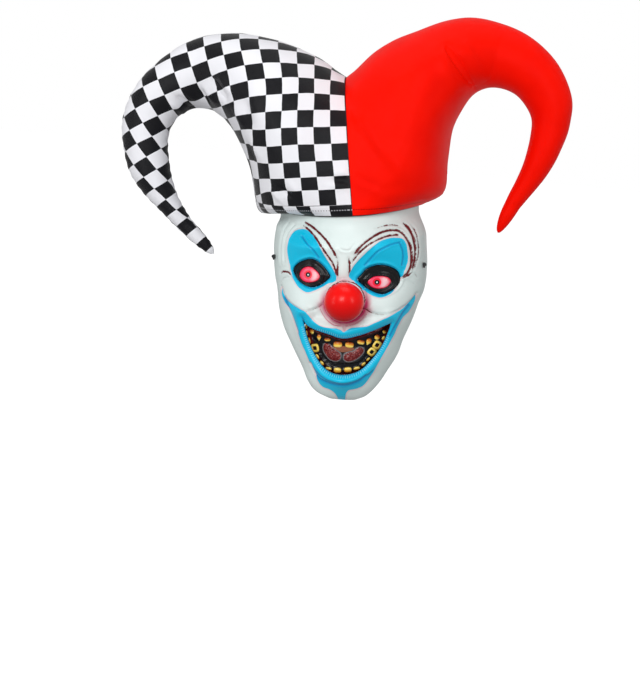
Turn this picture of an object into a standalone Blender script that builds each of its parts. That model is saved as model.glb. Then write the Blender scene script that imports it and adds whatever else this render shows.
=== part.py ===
"""Jester mask: a moulded clown face under a two-horned satin hat, with its elastic.

Metres, +Z up. The origin is the middle of the head opening, level with the hat's hem.
The face looks along -Y, and +X is the right of a front view. The hat has a frame of its
own, which leans a little to the left of that view.
"""

import math

import bmesh
import bpy
import numpy as np
from mathutils import Vector

# Clearance between touching pieces
GAP = 0.0003

# Face shell, seen from the front: half width, drop from hem to chin, reach forward of the origin
FACE_HALF = 0.086
FACE_DROP = 0.2145
FACE_REACH = 0.103
FACE_TUCK = 0.016
HEM_CLEAR = 0.003
HEM_EASE = 0.009
HEM_DRAW = 0.030
SHELL_WALL = 0.002
SECTION_ROUND = 2.15
RELIEF = 0.010

# Hat, measured on the outer side of its wall
HEM_LEFT = 0.084
HEM_RIGHT = 0.078
HEM_DEPTH = 0.101
HEM_DIP = 0.010
HEM_SIDE_DIP = 0.003
CROWN_RISE = 0.142
HORN_RISE = 0.198
LEFT_REACH = 0.262
RIGHT_REACH = 0.246
HAT_TILT = math.radians(8.0)
HAT_SHIFT = -0.003
HAT_WALL = 0.0025
CROWN_PUFF = 0.010

# Band inside the hem, which shows as a thin dark edge under it
BINDING_WALL = 0.001
BINDING_HEIGHT = 0.012
BINDING_SHOWS = 0.0014
BINDING_GAP = 0.0006

# Nose
NOSE_RADIUS = 0.0215
NOSE_DROP = 0.1025
NOSE_SIDE = 0.0035
NOSE_SEAT = 0.104
NOSE_SINK = 0.72

# Eyes
EYE_SIDE = 0.037
EYE_DROP = 0.0765
LID_HALF_WIDTH = 0.0215
LID_HALF_HEIGHT = 0.0155
LID_RECESS = 0.0008
LID_WALL = 0.003
BALL_OUT = 0.0015
BALL_BELOW = 0.0025
BALL_SIDE = EYE_SIDE + BALL_OUT
BALL_DROP = EYE_DROP + BALL_BELOW
BALL_HALF_WIDTH = 0.0120
BALL_HALF_HEIGHT = 0.0082
BALL_BULGE = 0.0035
PUPIL_RADIUS = 0.0013

# Mouth opening and what it shows
MOUTH_SIDE = 0.007
MOUTH_DROP = 0.124
MOUTH_HALF = 0.0485
MOUTH_HEIGHT = 0.060
LIP_WIDTH = 0.013
TEETH_RECESS = 0.006
TEETH_WALL = 0.0035
GUM_BEHIND_LIP = 0.0032
TRAY_RISE = 0.0045
PLATE_MARGIN = GUM_BEHIND_LIP + TRAY_RISE + 0.001
PLATE_WALL = 0.0015
PLATE_FLANGE = 0.0030
TONGUE_HALF = 0.0195
TONGUE_HEIGHT = 0.022
TONGUE_THICK = 0.004
TONGUE_BELOW = 0.037
TONGUE_DROP = MOUTH_DROP + TONGUE_BELOW

# Elastic
CORD_DIAMETER = 0.003
CORD_HOLE = 0.0044
CORD_START = 0.0010
STRAP_BACK = 0.043
STRAP_DROP_LEFT = 0.066
STRAP_DROP_RIGHT = 0.058
KNOT_RADIUS = 0.0032
KNOT_FLAT = 0.7

# Face sections: height, left and right half width, reach forward, reach of the side rim
FACE_COLUMNS = ("height", "left", "right", "front", "rim")
FACE_SECTIONS = (
    (0.075, 0.93, 0.89, 0.925, 0.06),
    (0.000, 0.96, 0.92, 0.945, 0.07),
    (-0.075, 0.99, 0.93, 0.975, 0.10),
    (-0.160, 1.005, 0.955, 1.000, 0.11),
    (-0.270, 1.005, 1.00, 0.995, 0.12),
    (-0.390, 0.97, 1.00, 0.970, 0.13),
    (-0.480, 0.915, 0.94, 0.965, 0.15),
    (-0.575, 0.865, 0.88, 0.955, 0.18),
    (-0.665, 0.780, 0.80, 0.950, 0.23),
    (-0.760, 0.640, 0.735, 0.930, 0.29),
    (-0.855, 0.485, 0.615, 0.900, 0.37),
    (-0.925, 0.385, 0.515, 0.855, 0.44),
    (-0.975, 0.270, 0.400, 0.780, 0.48),
    (-1.000, 0.110, 0.280, 0.690, 0.50),
)

# Soft relief: side and height in the front view, radius to the side, radius up and down, and raise,
# as shares of the face's half width, its drop and the relief
FACE_RELIEF = (
    (-0.44, -0.205, 0.34, 0.060, 0.45),
    (0.44, -0.190, 0.34, 0.060, 0.45),
    (-0.45, -0.355, 0.26, 0.075, -0.62),
    (0.44, -0.355, 0.26, 0.075, -0.62),
    (-0.02, -0.340, 0.09, 0.110, 0.35),
    (-0.60, -0.520, 0.25, 0.085, 0.80),
    (0.62, -0.500, 0.25, 0.085, 0.80),
    (-0.30, -0.500, 0.13, 0.070, 0.30),
    (0.38, -0.500, 0.13, 0.070, 0.30),
    (0.06, -0.575, 0.22, 0.055, 0.35),
    (0.13, -0.900, 0.22, 0.060, 0.70),
    (-0.62, -0.660, 0.08, 0.090, -0.35),
    (0.76, -0.650, 0.08, 0.090, -0.35),
)
LIP_RAISE = 0.75

# Mouth edge, round the opening: side as a share of its half width, drop as a share of its height
MOUTH_EDGE = (
    (-1.01, 0.03),
    (-0.91, 0.15),
    (-0.72, 0.22),
    (-0.37, 0.28),
    (-0.04, 0.33),
    (0.31, 0.25),
    (0.64, 0.13),
    (0.99, -0.02),
    (0.95, 0.12),
    (0.85, 0.38),
    (0.68, 0.63),
    (0.39, 0.90),
    (0.00, 1.00),
    (-0.37, 0.93),
    (-0.66, 0.68),
    (-0.87, 0.37),
)
MOUTH_UPPER = slice(0, 8)
MOUTH_LOWER = (0, 15, 14, 13, 12, 11, 10, 9, 8, 7)

# Teeth along each edge: place and half width as shares of the edge, from its middle above and from
# its left end below, length as a share of the mouth's height, and how pointed, 0 to 1
UPPER_TEETH = (
    (-0.745, 0.040, 0.05, 0.5),
    (-0.655, 0.060, 0.08, 0.4),
    (-0.54, 0.080, 0.16, 0.9),
    (-0.38, 0.085, 0.11, 0.2),
    (-0.13, 0.150, 0.15, 0.0),
    (0.15, 0.140, 0.14, 0.0),
    (0.36, 0.085, 0.13, 0.2),
    (0.53, 0.080, 0.16, 0.9),
    (0.68, 0.070, 0.10, 0.4),
    (0.79, 0.050, 0.06, 0.5),
)
LOWER_TEETH = (
    (0.13, 0.030, 0.06, 0.4),
    (0.20, 0.036, 0.10, 0.2),
    (0.28, 0.045, 0.14, 0.0),
    (0.365, 0.036, 0.12, 0.7),
    (0.44, 0.036, 0.13, 0.5),
    (0.515, 0.036, 0.13, 0.2),
    (0.59, 0.036, 0.12, 0.4),
    (0.665, 0.040, 0.13, 0.7),
    (0.75, 0.045, 0.14, 0.0),
    (0.83, 0.036, 0.11, 0.0),
    (0.90, 0.030, 0.06, 0.4),
)

# Hat sections, from centre seam and hem to the tip: side and height of the upper edge, then of the
# lower edge, as shares of the horn's reach and rise, and half depth as a share of the hem's
LEFT_HORN = (
    (0.000, 0.717, 0.321, 0.000, 1.00),
    (0.155, 0.860, 0.418, 0.005, 1.02),
    (0.305, 0.950, 0.452, 0.260, 0.84),
    (0.460, 0.995, 0.515, 0.460, 0.60),
    (0.610, 0.985, 0.590, 0.560, 0.44),
    (0.755, 0.915, 0.678, 0.580, 0.36),
    (0.910, 0.745, 0.755, 0.525, 0.30),
    (0.990, 0.530, 0.800, 0.415, 0.265),
    (0.980, 0.290, 0.797, 0.250, 0.240),
    (0.915, 0.110, 0.770, 0.110, 0.200),
    (0.805, -0.060, 0.722, -0.025, 0.140),
    (0.700, -0.200, 0.668, -0.130, 0.060),
)
LEFT_TIP = (0.640, -0.245)
RIGHT_HORN = (
    (0.000, 0.717, 0.317, 0.000, 1.00),
    (0.150, 0.870, 0.420, 0.065, 1.02),
    (0.300, 0.955, 0.440, 0.240, 0.84),
    (0.450, 1.010, 0.465, 0.410, 0.62),
    (0.570, 1.020, 0.540, 0.560, 0.46),
    (0.690, 0.985, 0.615, 0.620, 0.40),
    (0.825, 0.895, 0.690, 0.615, 0.35),
    (0.950, 0.730, 0.765, 0.560, 0.30),
    (1.008, 0.550, 0.815, 0.455, 0.260),
    (1.000, 0.400, 0.812, 0.350, 0.235),
    (0.955, 0.260, 0.790, 0.235, 0.210),
    (0.880, 0.110, 0.750, 0.115, 0.170),
    (0.775, -0.040, 0.700, 0.000, 0.120),
    (0.700, -0.130, 0.665, -0.095, 0.055),
)
RIGHT_TIP = (0.648, -0.205)

# Elastic's route behind the head, from the left hole to the right, chosen by hand
CORD_ROUTE = (
    (-0.0745, -0.0415, -0.0660),
    (-0.0715, -0.0350, -0.0659),
    (-0.0720, -0.0240, -0.0658),
    (-0.0750, -0.0080, -0.0655),
    (-0.0765, 0.0200, -0.0650),
    (-0.0720, 0.0420, -0.0645),
    (-0.0610, 0.0620, -0.0638),
    (-0.0440, 0.0780, -0.0630),
    (-0.0230, 0.0880, -0.0624),
    (0.0000, 0.0915, -0.0620),
    (0.0230, 0.0880, -0.0614),
    (0.0440, 0.0780, -0.0608),
    (0.0610, 0.0620, -0.0602),
    (0.0710, 0.0420, -0.0595),
    (0.0745, 0.0200, -0.0588),
    (0.0735, -0.0080, -0.0583),
    (0.0705, -0.0240, -0.0581),
    (0.0700, -0.0350, -0.0580),
    (0.0730, -0.0415, -0.0580),
)

# Mesh fineness
SHELL_COLUMNS = 26
SHELL_ROWS = 25
SEAM_STEPS = 9
HEM_STEPS = 7
HORN_STEPS = 14
EYE_POINTS = 20
MOUTH_STEPS = 16
TOOTH_STEPS = 3
CORD_POINTS = 34

# A hat ring runs down the centre seam and round the hem in front, and back again behind
RING_POINTS = 2 * (SEAM_STEPS + HEM_STEPS)
HEM_SAG = HEM_DEPTH * (1 - math.cos(math.pi / 4 / HEM_STEPS))

FINISHES = {
    "face_plastic": ((0.70, 0.76, 0.75), 0.38, 0.0),
    "black_gloss": ((0.012, 0.012, 0.014), 0.12, 0.0),
    "eye_pink": ((0.70, 0.28, 0.26), 0.25, 0.0),
    "red_gloss": ((0.75, 0.004, 0.004), 0.10, 0.0),
    "tooth_yellow": ((0.72, 0.52, 0.18), 0.30, 0.0),
    "tongue_red": ((0.10, 0.012, 0.012), 0.15, 0.0),
    "check_satin": ((0.45, 0.45, 0.47), 0.45, 0.0),
    "red_satin": ((0.80, 0.010, 0.008), 0.42, 0.0),
    "black_satin": ((0.010, 0.010, 0.012), 0.50, 0.0),
    "black_elastic": ((0.015, 0.015, 0.016), 0.70, 0.0),
}


def clear_scene():
    for old in list(bpy.data.objects):
        bpy.data.objects.remove(old, do_unlink=True)


def new_collection(name):
    collection = bpy.data.collections.new(name)
    bpy.context.scene.collection.children.link(collection)
    return collection


def finish_named(name):
    """The named finish as a material."""
    known = bpy.data.materials.get(name)
    if known:
        return known
    colour, roughness, metallic = FINISHES[name]
    material = bpy.data.materials.new(name)
    material.use_nodes = True
    shader = material.node_tree.nodes["Principled BSDF"]
    shader.inputs["Base Color"].default_value = (*colour, 1.0)
    shader.inputs["Roughness"].default_value = roughness
    shader.inputs["Metallic"].default_value = metallic
    material.diffuse_color = (*colour, 1.0)
    return material


def add_object(name, bm, collection, finish=None, parent=None):
    """The bmesh as a smooth-shaded object."""
    mesh = bpy.data.meshes.new(name)
    bm.to_mesh(mesh)
    bm.free()
    mesh.shade_smooth()
    mesh.set_sharp_from_angle(angle=math.radians(40))
    obj = bpy.data.objects.new(name, mesh)
    if finish:
        mesh.materials.append(finish_named(finish))
    obj.parent = parent
    collection.objects.link(obj)
    return obj


def add_cutter(name, bm, collection, parent=None):
    """The bmesh as a hidden cutter."""
    obj = add_object(name, bm, collection, parent=parent)
    obj.hide_render = True
    obj.display_type = "WIRE"
    return obj


def cut(obj, cutter):
    modifier = obj.modifiers.new(f"less {cutter.name}", "BOOLEAN")
    modifier.operation = "DIFFERENCE"
    modifier.object = cutter


def smooth_rows(rows, shares):
    """A table's rows read at shares of its length, on a Catmull-Rom curve."""
    rows = np.asarray(rows, float)
    at = np.clip(np.asarray(shares, float), 0.0, 1.0) * (len(rows) - 1)
    first = np.minimum(at.astype(int), len(rows) - 2)
    t = (at - first)[..., None]
    start = rows[first]
    end = rows[first + 1]
    before = np.where((first == 0)[..., None], 2 * start - end, rows[np.maximum(first - 1, 0)])
    last = (first == len(rows) - 2)[..., None]
    after = np.where(last, 2 * end - start, rows[np.minimum(first + 2, len(rows) - 1)])
    square = 2 * before - 5 * start + 4 * end - after
    cube = 3 * start - before - 3 * end + after
    return 0.5 * (2 * start + (end - before) * t + square * t**2 + cube * t**3)


def smooth_step(value):
    value = np.clip(value, 0.0, 1.0)
    return value * value * (3 - 2 * value)


def face_section(z):
    """Left and right half width, reach of the front and of the rim, at a height."""
    dense = smooth_rows(FACE_SECTIONS, np.linspace(0, 1, 160))
    scale = (FACE_DROP, FACE_HALF, FACE_HALF, FACE_REACH, FACE_REACH)
    columns = dict(zip(FACE_COLUMNS, (dense * scale)[::-1].T))
    return tuple(np.interp(z, columns["height"], columns[key]) for key in FACE_COLUMNS[1:])


def mouth_loop(steps=3):
    """The opening's edge as a closed loop of (x, z), with its two corners kept sharp."""
    edge = np.array(MOUTH_EDGE) * (MOUTH_HALF, -MOUTH_HEIGHT) + (MOUTH_SIDE, -MOUTH_DROP)
    upper = edge[MOUTH_UPPER]
    lower = edge[list(MOUTH_LOWER)][::-1]
    halves = []
    for half in (upper, lower):
        shares = np.linspace(0, 1, (len(half) - 1) * steps + 1)
        halves.append(smooth_rows(half, shares)[:-1])
    return np.concatenate(halves)


def loop_distance(x, z, loop):
    """Distance to a closed loop in the front view, below zero inside it."""
    point = np.stack(np.broadcast_arrays(x, z), -1)[..., None, :].astype(float)
    start = loop
    side = np.roll(loop, -1, axis=0) - loop
    along = ((point - start) * side).sum(-1) / (side * side).sum(-1)
    nearest = start + np.clip(along, 0, 1)[..., None] * side
    distance = np.linalg.norm(point - nearest, axis=-1).min(-1)
    low = start[:, 1] <= point[..., 1]
    high = (start + side)[:, 1] <= point[..., 1]
    run = (point[..., 1] - start[:, 1]) / np.where(side[:, 1] == 0, 1e-12, side[:, 1])
    crossing = (low != high) & (point[..., 0] < start[:, 0] + run * side[:, 0])
    inside = crossing.sum(-1) % 2 == 1
    return np.where(inside, -distance, distance)


def face_profile(x, z):
    """0 at the side rims to 1 in the middle, across the section at a height."""
    left, right = face_section(z)[:2]
    across = np.clip(np.abs(x) / np.where(x < 0, left, right), 0, 1)
    return (1 - across**SECTION_ROUND) ** (1 / SECTION_ROUND)


def base_reach(x, z):
    """Reach forward of the plain face, without its relief."""
    front, rim = face_section(z)[2:]
    return rim + (front - rim) * face_profile(x, z)


def face_relief(x, z):
    """Raise of brows, cheeks, lips and chin above the plain face."""
    total = np.zeros(np.broadcast(x, z).shape)
    for side, height, radius_side, radius_height, raised in FACE_RELIEF:
        dx = (x - side * FACE_HALF) / (radius_side * FACE_HALF)
        dz = (z - height * FACE_DROP) / (radius_height * FACE_DROP)
        total = total + raised * RELIEF * np.exp(-dx * dx - dz * dz)
    from_edge = loop_distance(x, z, mouth_loop())
    lip = (from_edge - LIP_WIDTH / 2) / (LIP_WIDTH / 2)
    return total + LIP_RAISE * RELIEF * np.exp(-lip * lip)


def face_reach(x, z):
    """Reach forward of the finished face, with its flat seat for the nose."""
    x = np.asarray(x, float)
    z = np.asarray(z, float)
    fade = smooth_step(face_profile(x, z) / 0.5)
    reach = base_reach(x, z) + face_relief(x, z) * fade
    from_nose = np.hypot(x - NOSE_SIDE, z + NOSE_DROP) / NOSE_RADIUS
    seat = 1 - smooth_step((from_nose - 0.86) / 0.34)
    return reach + (NOSE_SEAT - reach) * seat


def under_hem(points):
    """Draws the shell in where it passes up inside the hat's band."""
    across = np.array((math.cos(HAT_TILT), 0.0, math.sin(HAT_TILT)))
    upward = np.array((-math.sin(HAT_TILT), 0.0, math.cos(HAT_TILT)))
    centre = np.array((HAT_SHIFT, 0.0, 0.0))
    side = (points - centre) @ across
    height = (points - centre) @ upward
    room = HAT_WALL + BINDING_GAP + BINDING_WALL + HEM_SAG + GAP
    half = np.where(side < 0, HEM_LEFT, HEM_RIGHT) - room
    spread = np.hypot(side / half, points[..., 1] / (HEM_DEPTH - room))
    forward = np.abs(points[..., 1]) / (HEM_DEPTH - room) / np.maximum(spread, 1e-6)
    above = height - hem_height(forward)
    tuck = smooth_step((above + HEM_CLEAR + HEM_DRAW) / HEM_DRAW + 0.1)
    share = np.where(spread > 1, 1 - (1 - 1 / np.maximum(spread, 1)) * tuck, 1.0)
    drawn = points + (side * (share - 1))[..., None] * across
    drawn[..., 1] = points[..., 1] * share
    return drawn


def shell_points():
    """The shell's outer side as rows of points, from its top edge to the chin."""
    turn = np.linspace(-math.pi / 2, math.pi / 2, SHELL_COLUMNS + 1)
    across = np.sign(turn) * np.abs(np.sin(turn)) ** (2 / SECTION_ROUND)
    below = np.linspace(HEM_CLEAR + HEM_EASE, FACE_DROP, SHELL_ROWS - 2)
    height = -np.concatenate(((-FACE_TUCK, -0.4 * FACE_TUCK, HEM_CLEAR), below))
    z = height[:, None] + 0 * across
    left, right = face_section(z)[:2]
    x = across * np.where(across < 0, left, right)
    lean = 1 - smooth_step((-z - HEM_CLEAR - HEM_EASE) / FACE_DROP / 0.23)
    y = -face_reach(x, z)
    z = z + lean * (x * math.tan(HAT_TILT) + hem_height(np.cos(turn)))
    return under_hem(np.stack((x, y, z), -1))


def add_rows(bm, points, closed=False):
    """Quads through rows of points, each row joined to the next."""
    rows = [[bm.verts.new(point) for point in row] for row in points]
    count = len(rows[0])
    for upper, lower in zip(rows, rows[1:]):
        for i in range(count if closed else count - 1):
            j = (i + 1) % count
            bm.faces.new((upper[i], upper[j], lower[j], lower[i]))
    return rows


def solidify(obj, wall, group=None):
    modifier = obj.modifiers.new("wall", "SOLIDIFY")
    modifier.thickness = wall
    modifier.offset = -1.0
    modifier.use_even_offset = False
    modifier.use_quality_normals = True
    if group:
        modifier.vertex_group = group
    return modifier


def prism_along(loop, low, high, axis):
    """A closed prism over a loop of pairs, from low to high along X or Y."""
    bm = bmesh.new()
    if axis == "X":
        verts = [bm.verts.new((low, a, b)) for a, b in loop]
        travel = Vector((high - low, 0, 0))
    else:
        verts = [bm.verts.new((a, low, b)) for a, b in loop]
        travel = Vector((0, high - low, 0))
    face = bm.faces.new(verts)
    made = bmesh.ops.extrude_face_region(bm, geom=[face])["geom"]
    bmesh.ops.translate(bm, verts=[v for v in made if isinstance(v, bmesh.types.BMVert)], vec=travel)
    bmesh.ops.recalc_face_normals(bm, faces=bm.faces)
    return bm


def almond(side, centre, half_width, half_height, scale=1.0, points=EYE_POINTS):
    """Loop of (x, z) round an eye shape, a little pointed at its corners."""
    turn = np.linspace(0, 2 * math.pi, points, endpoint=False)
    narrow = 1 - 0.16 * np.abs(np.cos(turn)) ** 3
    x = side * centre[0] + half_width * scale * np.cos(turn)
    z = -centre[1] + half_height * scale * np.sin(turn) * narrow
    return np.stack((x, z), -1)


def plate(name, grid, front, back, finish, collection, closed=False):
    """A slab over a grid of (x, z), between a front and a back surface."""
    bm = bmesh.new()
    x, z = grid[..., 0], grid[..., 1]
    add_rows(bm, np.stack((x, front(x, z), z), -1), closed)
    made = bmesh.ops.extrude_face_region(bm, geom=bm.faces[:])["geom"]
    for vert in made:
        if isinstance(vert, bmesh.types.BMVert):
            vert.co.y = float(back(np.array(vert.co.x), np.array(vert.co.z)))
    bmesh.ops.recalc_face_normals(bm, faces=bm.faces)
    return add_object(name, bm, collection, finish)


def build_shell(collection, cutters):
    bm = bmesh.new()
    add_rows(bm, shell_points())
    obj = add_object("face_shell", bm, collection, "face_plastic")
    obj.data.flip_normals()
    solidify(obj, SHELL_WALL)
    front = -2 * FACE_REACH
    for side, word in ((-1, "left"), (1, "right")):
        loop = almond(side, (EYE_SIDE, EYE_DROP), LID_HALF_WIDTH, LID_HALF_HEIGHT)
        cut(obj, add_cutter(f"eye_opening_{word}", prism_along(loop, front, 0.0, "Y"), cutters))
    cut(obj, add_cutter("mouth_opening", prism_along(mouth_loop(2), front, 0.0, "Y"), cutters))
    for side, drop in ((-1, STRAP_DROP_LEFT), (1, STRAP_DROP_RIGHT)):
        bm = bmesh.new()
        bmesh.ops.create_cone(bm, cap_ends=True, segments=12, radius1=CORD_HOLE / 2,
                              radius2=CORD_HOLE / 2, depth=FACE_HALF / 2)
        hole = add_cutter(f"cord_hole_{'left' if side < 0 else 'right'}", bm, cutters)
        hole.location = (side * FACE_HALF, -STRAP_BACK, -drop)
        hole.rotation_euler = (0, math.pi / 2, 0)
        cut(obj, hole)
    return obj


def build_eye(side, word, collection):
    """The dark lid in its opening, and the eyeball in the lid."""
    def lid_front(x, z):
        return -face_reach(x, z) + LID_RECESS

    def ball_front(x, z):
        dx = (x - side * BALL_SIDE) / BALL_HALF_WIDTH
        dz = (z + BALL_DROP) / BALL_HALF_HEIGHT
        return lid_front(x, z) - BALL_BULGE * np.clip(1 - dx * dx - dz * dz, 0, 1)

    def back(x, z):
        return lid_front(x, z) + LID_WALL

    rim = almond(side, (EYE_SIDE, EYE_DROP), LID_HALF_WIDTH - GAP, LID_HALF_HEIGHT - GAP)
    hole = almond(side, (BALL_SIDE, BALL_DROP), BALL_HALF_WIDTH + GAP, BALL_HALF_HEIGHT + GAP)
    rings = np.stack([rim + (hole - rim) * share for share in (0, 0.5, 1)])
    plate(f"eye_lid_{word}", rings, lid_front, back, "black_gloss", collection, True)
    ball = almond(side, (BALL_SIDE, BALL_DROP), BALL_HALF_WIDTH, BALL_HALF_HEIGHT)
    turn = np.linspace(0, 2 * math.pi, EYE_POINTS, endpoint=False)
    pupil = np.stack((np.cos(turn), np.sin(turn)), -1) * PUPIL_RADIUS
    pupil = pupil + (side * BALL_SIDE, -BALL_DROP)
    rings = np.stack([ball + (pupil - ball) * share for share in (0, 0.5, 1)])
    plate(f"eyeball_{word}", rings, ball_front, back, "eye_pink", collection, True)


def build_nose(collection, cutters):
    """A ball with a flat back that lies on the shell's seat."""
    bm = bmesh.new()
    bmesh.ops.create_uvsphere(bm, u_segments=22, v_segments=11, radius=NOSE_RADIUS)
    centre = NOSE_SEAT + NOSE_RADIUS * NOSE_SINK
    obj = add_object("nose", bm, collection, "red_gloss")
    obj.location = (NOSE_SIDE, -centre, -NOSE_DROP)
    obj.rotation_euler = (math.pi / 2, 0, 0)
    bm = bmesh.new()
    bmesh.ops.create_cube(bm, size=1.0)
    seat = add_cutter("nose_seat", bm, cutters)
    size = 4 * NOSE_RADIUS
    seat.scale = (size, size, size)
    seat.location = (NOSE_SIDE, -NOSE_SEAT - GAP + size / 2, -NOSE_DROP)
    cut(obj, seat)
    return obj


def mouth_edges(margin):
    """The opening's upper and lower edge, moved out by a margin, at even steps between its corners."""
    edge = np.array(MOUTH_EDGE) * (MOUTH_HALF, -MOUTH_HEIGHT) + (MOUTH_SIDE, -MOUTH_DROP)
    shares = np.linspace(0, 1, MOUTH_STEPS + 1)
    upper = smooth_rows(edge[MOUTH_UPPER], shares)
    lower = smooth_rows(edge[list(MOUTH_LOWER)], shares)
    moved = []
    for line, outward in ((upper, 1), (lower, -1)):
        along = np.gradient(line, axis=0)
        along /= np.linalg.norm(along, axis=1)[:, None]
        moved.append(line + np.stack((-along[:, 1], along[:, 0]), -1) * outward * margin)
    return moved


def floor_reach(x, z):
    """Reach of the dark plate's front side, a shallow tray behind the lips."""
    upper, lower = mouth_edges(PLATE_MARGIN)
    loop = np.concatenate((upper, lower[::-1]))
    inward = -loop_distance(x, z, loop)
    deep = smooth_step(inward / TRAY_RISE)
    rim = face_reach(x, z) - (SHELL_WALL + PLATE_FLANGE) / face_profile(x, z)
    tray = base_reach(x, z) - TEETH_RECESS - TEETH_WALL - 3 * GAP
    return rim + (tray - rim) * deep


def build_mouth(collection):
    upper, lower = mouth_edges(PLATE_MARGIN)
    above, below = mouth_edges(PLATE_MARGIN - TRAY_RISE)
    rows = [above + (below - above) * share for share in (0, 0.33, 0.67, 1)]
    grid = np.stack((upper, *rows, lower))

    def front(x, z):
        return -floor_reach(x, z)

    def back(x, z):
        return PLATE_WALL - floor_reach(x, z)

    plate("mouth_plate", grid, front, back, "black_gloss", collection)


def tooth_length(place, teeth):
    """Length of the row at a place along it: the tooth that stands there, rounded or pointed."""
    length = 0.02
    for centre, half_width, tall, point in teeth:
        off = abs(place - centre) / half_width
        if off < 1:
            bump = (1 - off ** (3.2 - 2 * point)) ** 0.5
            length = max(length, tall * bump)
    return length * MOUTH_HEIGHT


def build_teeth(name, teeth, edge, inward, collection):
    """A row of teeth that stands in from an edge, on a gum behind the lip."""
    places = []
    for centre, half_width, _, _ in teeth:
        steps = np.linspace(-0.96, 0.96, TOOTH_STEPS + 1)
        places.extend(centre + half_width * steps)
    places = np.array(places)
    start, end = (-1.0, 1.0) if places[0] < 0 else (0.0, 1.0)
    line = smooth_rows(edge, (places - start) / (end - start))
    ahead = smooth_rows(edge, (places - start) / (end - start) + 0.01)
    behind = smooth_rows(edge, (places - start) / (end - start) - 0.01)
    along = ahead - behind
    along /= np.linalg.norm(along, axis=1)[:, None]
    into = np.stack((-along[:, 1], along[:, 0]), -1) * inward
    root = line - into * GUM_BEHIND_LIP
    tip = line + into * np.array([tooth_length(place, teeth) for place in places])[:, None]
    grid = np.stack([root + (tip - root) * share for share in (0, 0.45, 1)])

    def front(x, z):
        return TEETH_RECESS - base_reach(x, z)

    def back(x, z):
        return TEETH_RECESS + TEETH_WALL - base_reach(x, z)

    plate(name, grid, front, back, "tooth_yellow", collection)


def build_tongue(collection):
    """Two glossy lobes on the dark plate."""
    across = np.linspace(-0.98, 0.98, 15)
    lobes = np.sqrt(1 - np.abs(across) ** 2.4)
    dip = 0.35 * np.exp(-((across / 0.22) ** 2))
    top = 0.42 * lobes - 0.10 * np.exp(-((across / 0.3) ** 2))
    bottom = -0.58 * lobes * (1 - 0.4 * dip)
    rows = np.linspace(0, 1, 7)[:, None]
    x = np.broadcast_to(MOUTH_SIDE + TONGUE_HALF * across, (7, 15))
    z = -TONGUE_DROP + TONGUE_HEIGHT * (top + (bottom - top) * rows)
    grid = np.stack((x, z), -1)

    def back(x, z):
        return -floor_reach(x, z) - 2 * GAP

    def front(x, z):
        off = (x - MOUTH_SIDE) / TONGUE_HALF
        rise = np.clip(1 - off * off, 0, 1) ** 0.4
        crease = 1 - 0.5 * np.exp(-((off / 0.16) ** 2))
        return back(x, z) - TONGUE_THICK * (0.3 + 0.7 * rise * crease)

    plate("tongue", grid, front, back, "tongue_red", collection)


def hem_height(forward):
    """Height of the hem in the hat's frame, lowest at the front and back. Forward is 0 to 1."""
    return -HEM_SIDE_DIP - (HEM_DIP - HEM_SIDE_DIP) * forward * forward


def crown_edge(turn, hem_half):
    """A hat half's open edge: down the centre seam, then round the hem. Side, reach, height."""
    seam_turn = math.pi * SEAM_STEPS / (SEAM_STEPS + HEM_STEPS)
    down = np.clip(turn / seam_turn, 0, 1) * math.pi / 2
    round_hem = np.clip((turn - seam_turn) / (math.pi - seam_turn), 0, 1) * math.pi / 2
    on_seam = turn <= seam_turn + 1e-6
    side = np.where(on_seam, 0.0, hem_half * np.sin(round_hem))
    seam_reach = HEM_DEPTH * np.sin(down) + 0.5 * CROWN_PUFF * np.sin(2 * down)
    reach = np.where(on_seam, seam_reach, HEM_DEPTH * np.cos(round_hem))
    rise = (CROWN_RISE + HEM_DIP) * np.cos(down) ** 0.9 - HEM_DIP
    height = np.where(on_seam, rise, hem_height(np.cos(round_hem)))
    return side, reach, height


def horn_rings(table, tip, reach, hem_half):
    """Rings of (side, y, height) from a half's open edge to its tip, and each ring's half depth."""
    scale = np.array((reach, HORN_RISE, reach, HORN_RISE, HEM_DEPTH))
    rows = np.array(table) * scale
    rows[0, 1] = CROWN_RISE
    rows[0, 2] = hem_half
    rows[0, 3] = -HEM_SIDE_DIP
    steps = smooth_rows(rows, np.linspace(0, 1, HORN_STEPS + 1))
    turn = np.linspace(0, 2 * math.pi, RING_POINTS, endpoint=False)
    front_turn = np.minimum(turn, 2 * math.pi - turn)
    facing = np.where(turn <= math.pi, -1.0, 1.0)
    share = (1 - np.cos(front_turn)) / 2
    side0, reach0, height0 = crown_edge(front_turn, hem_half)
    bulge_side = side0 - share * hem_half
    bulge_height = height0 - (1 - share) * CROWN_RISE + share * HEM_SIDE_DIP
    rings = []
    for i, (upper_side, upper_height, lower_side, lower_height, depth) in enumerate(steps):
        at = i / HORN_STEPS
        hold = (1 - smooth_step(at / 0.42)) ** 1.3
        side = upper_side + (lower_side - upper_side) * share + hold * bulge_side
        height = upper_height + (lower_height - upper_height) * share + hold * bulge_height
        puff = CROWN_PUFF * math.sin(math.pi * min(at / 0.4, 1.0)) * np.sin(front_turn)
        out = hold * reach0 + (1 - hold) * depth * np.sin(front_turn) + puff
        rings.append(np.stack((side, facing * out, height), -1))
    end = np.array((tip[0] * reach, 0.0, tip[1] * HORN_RISE))
    return np.array(rings), steps[:, 4], end


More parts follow.
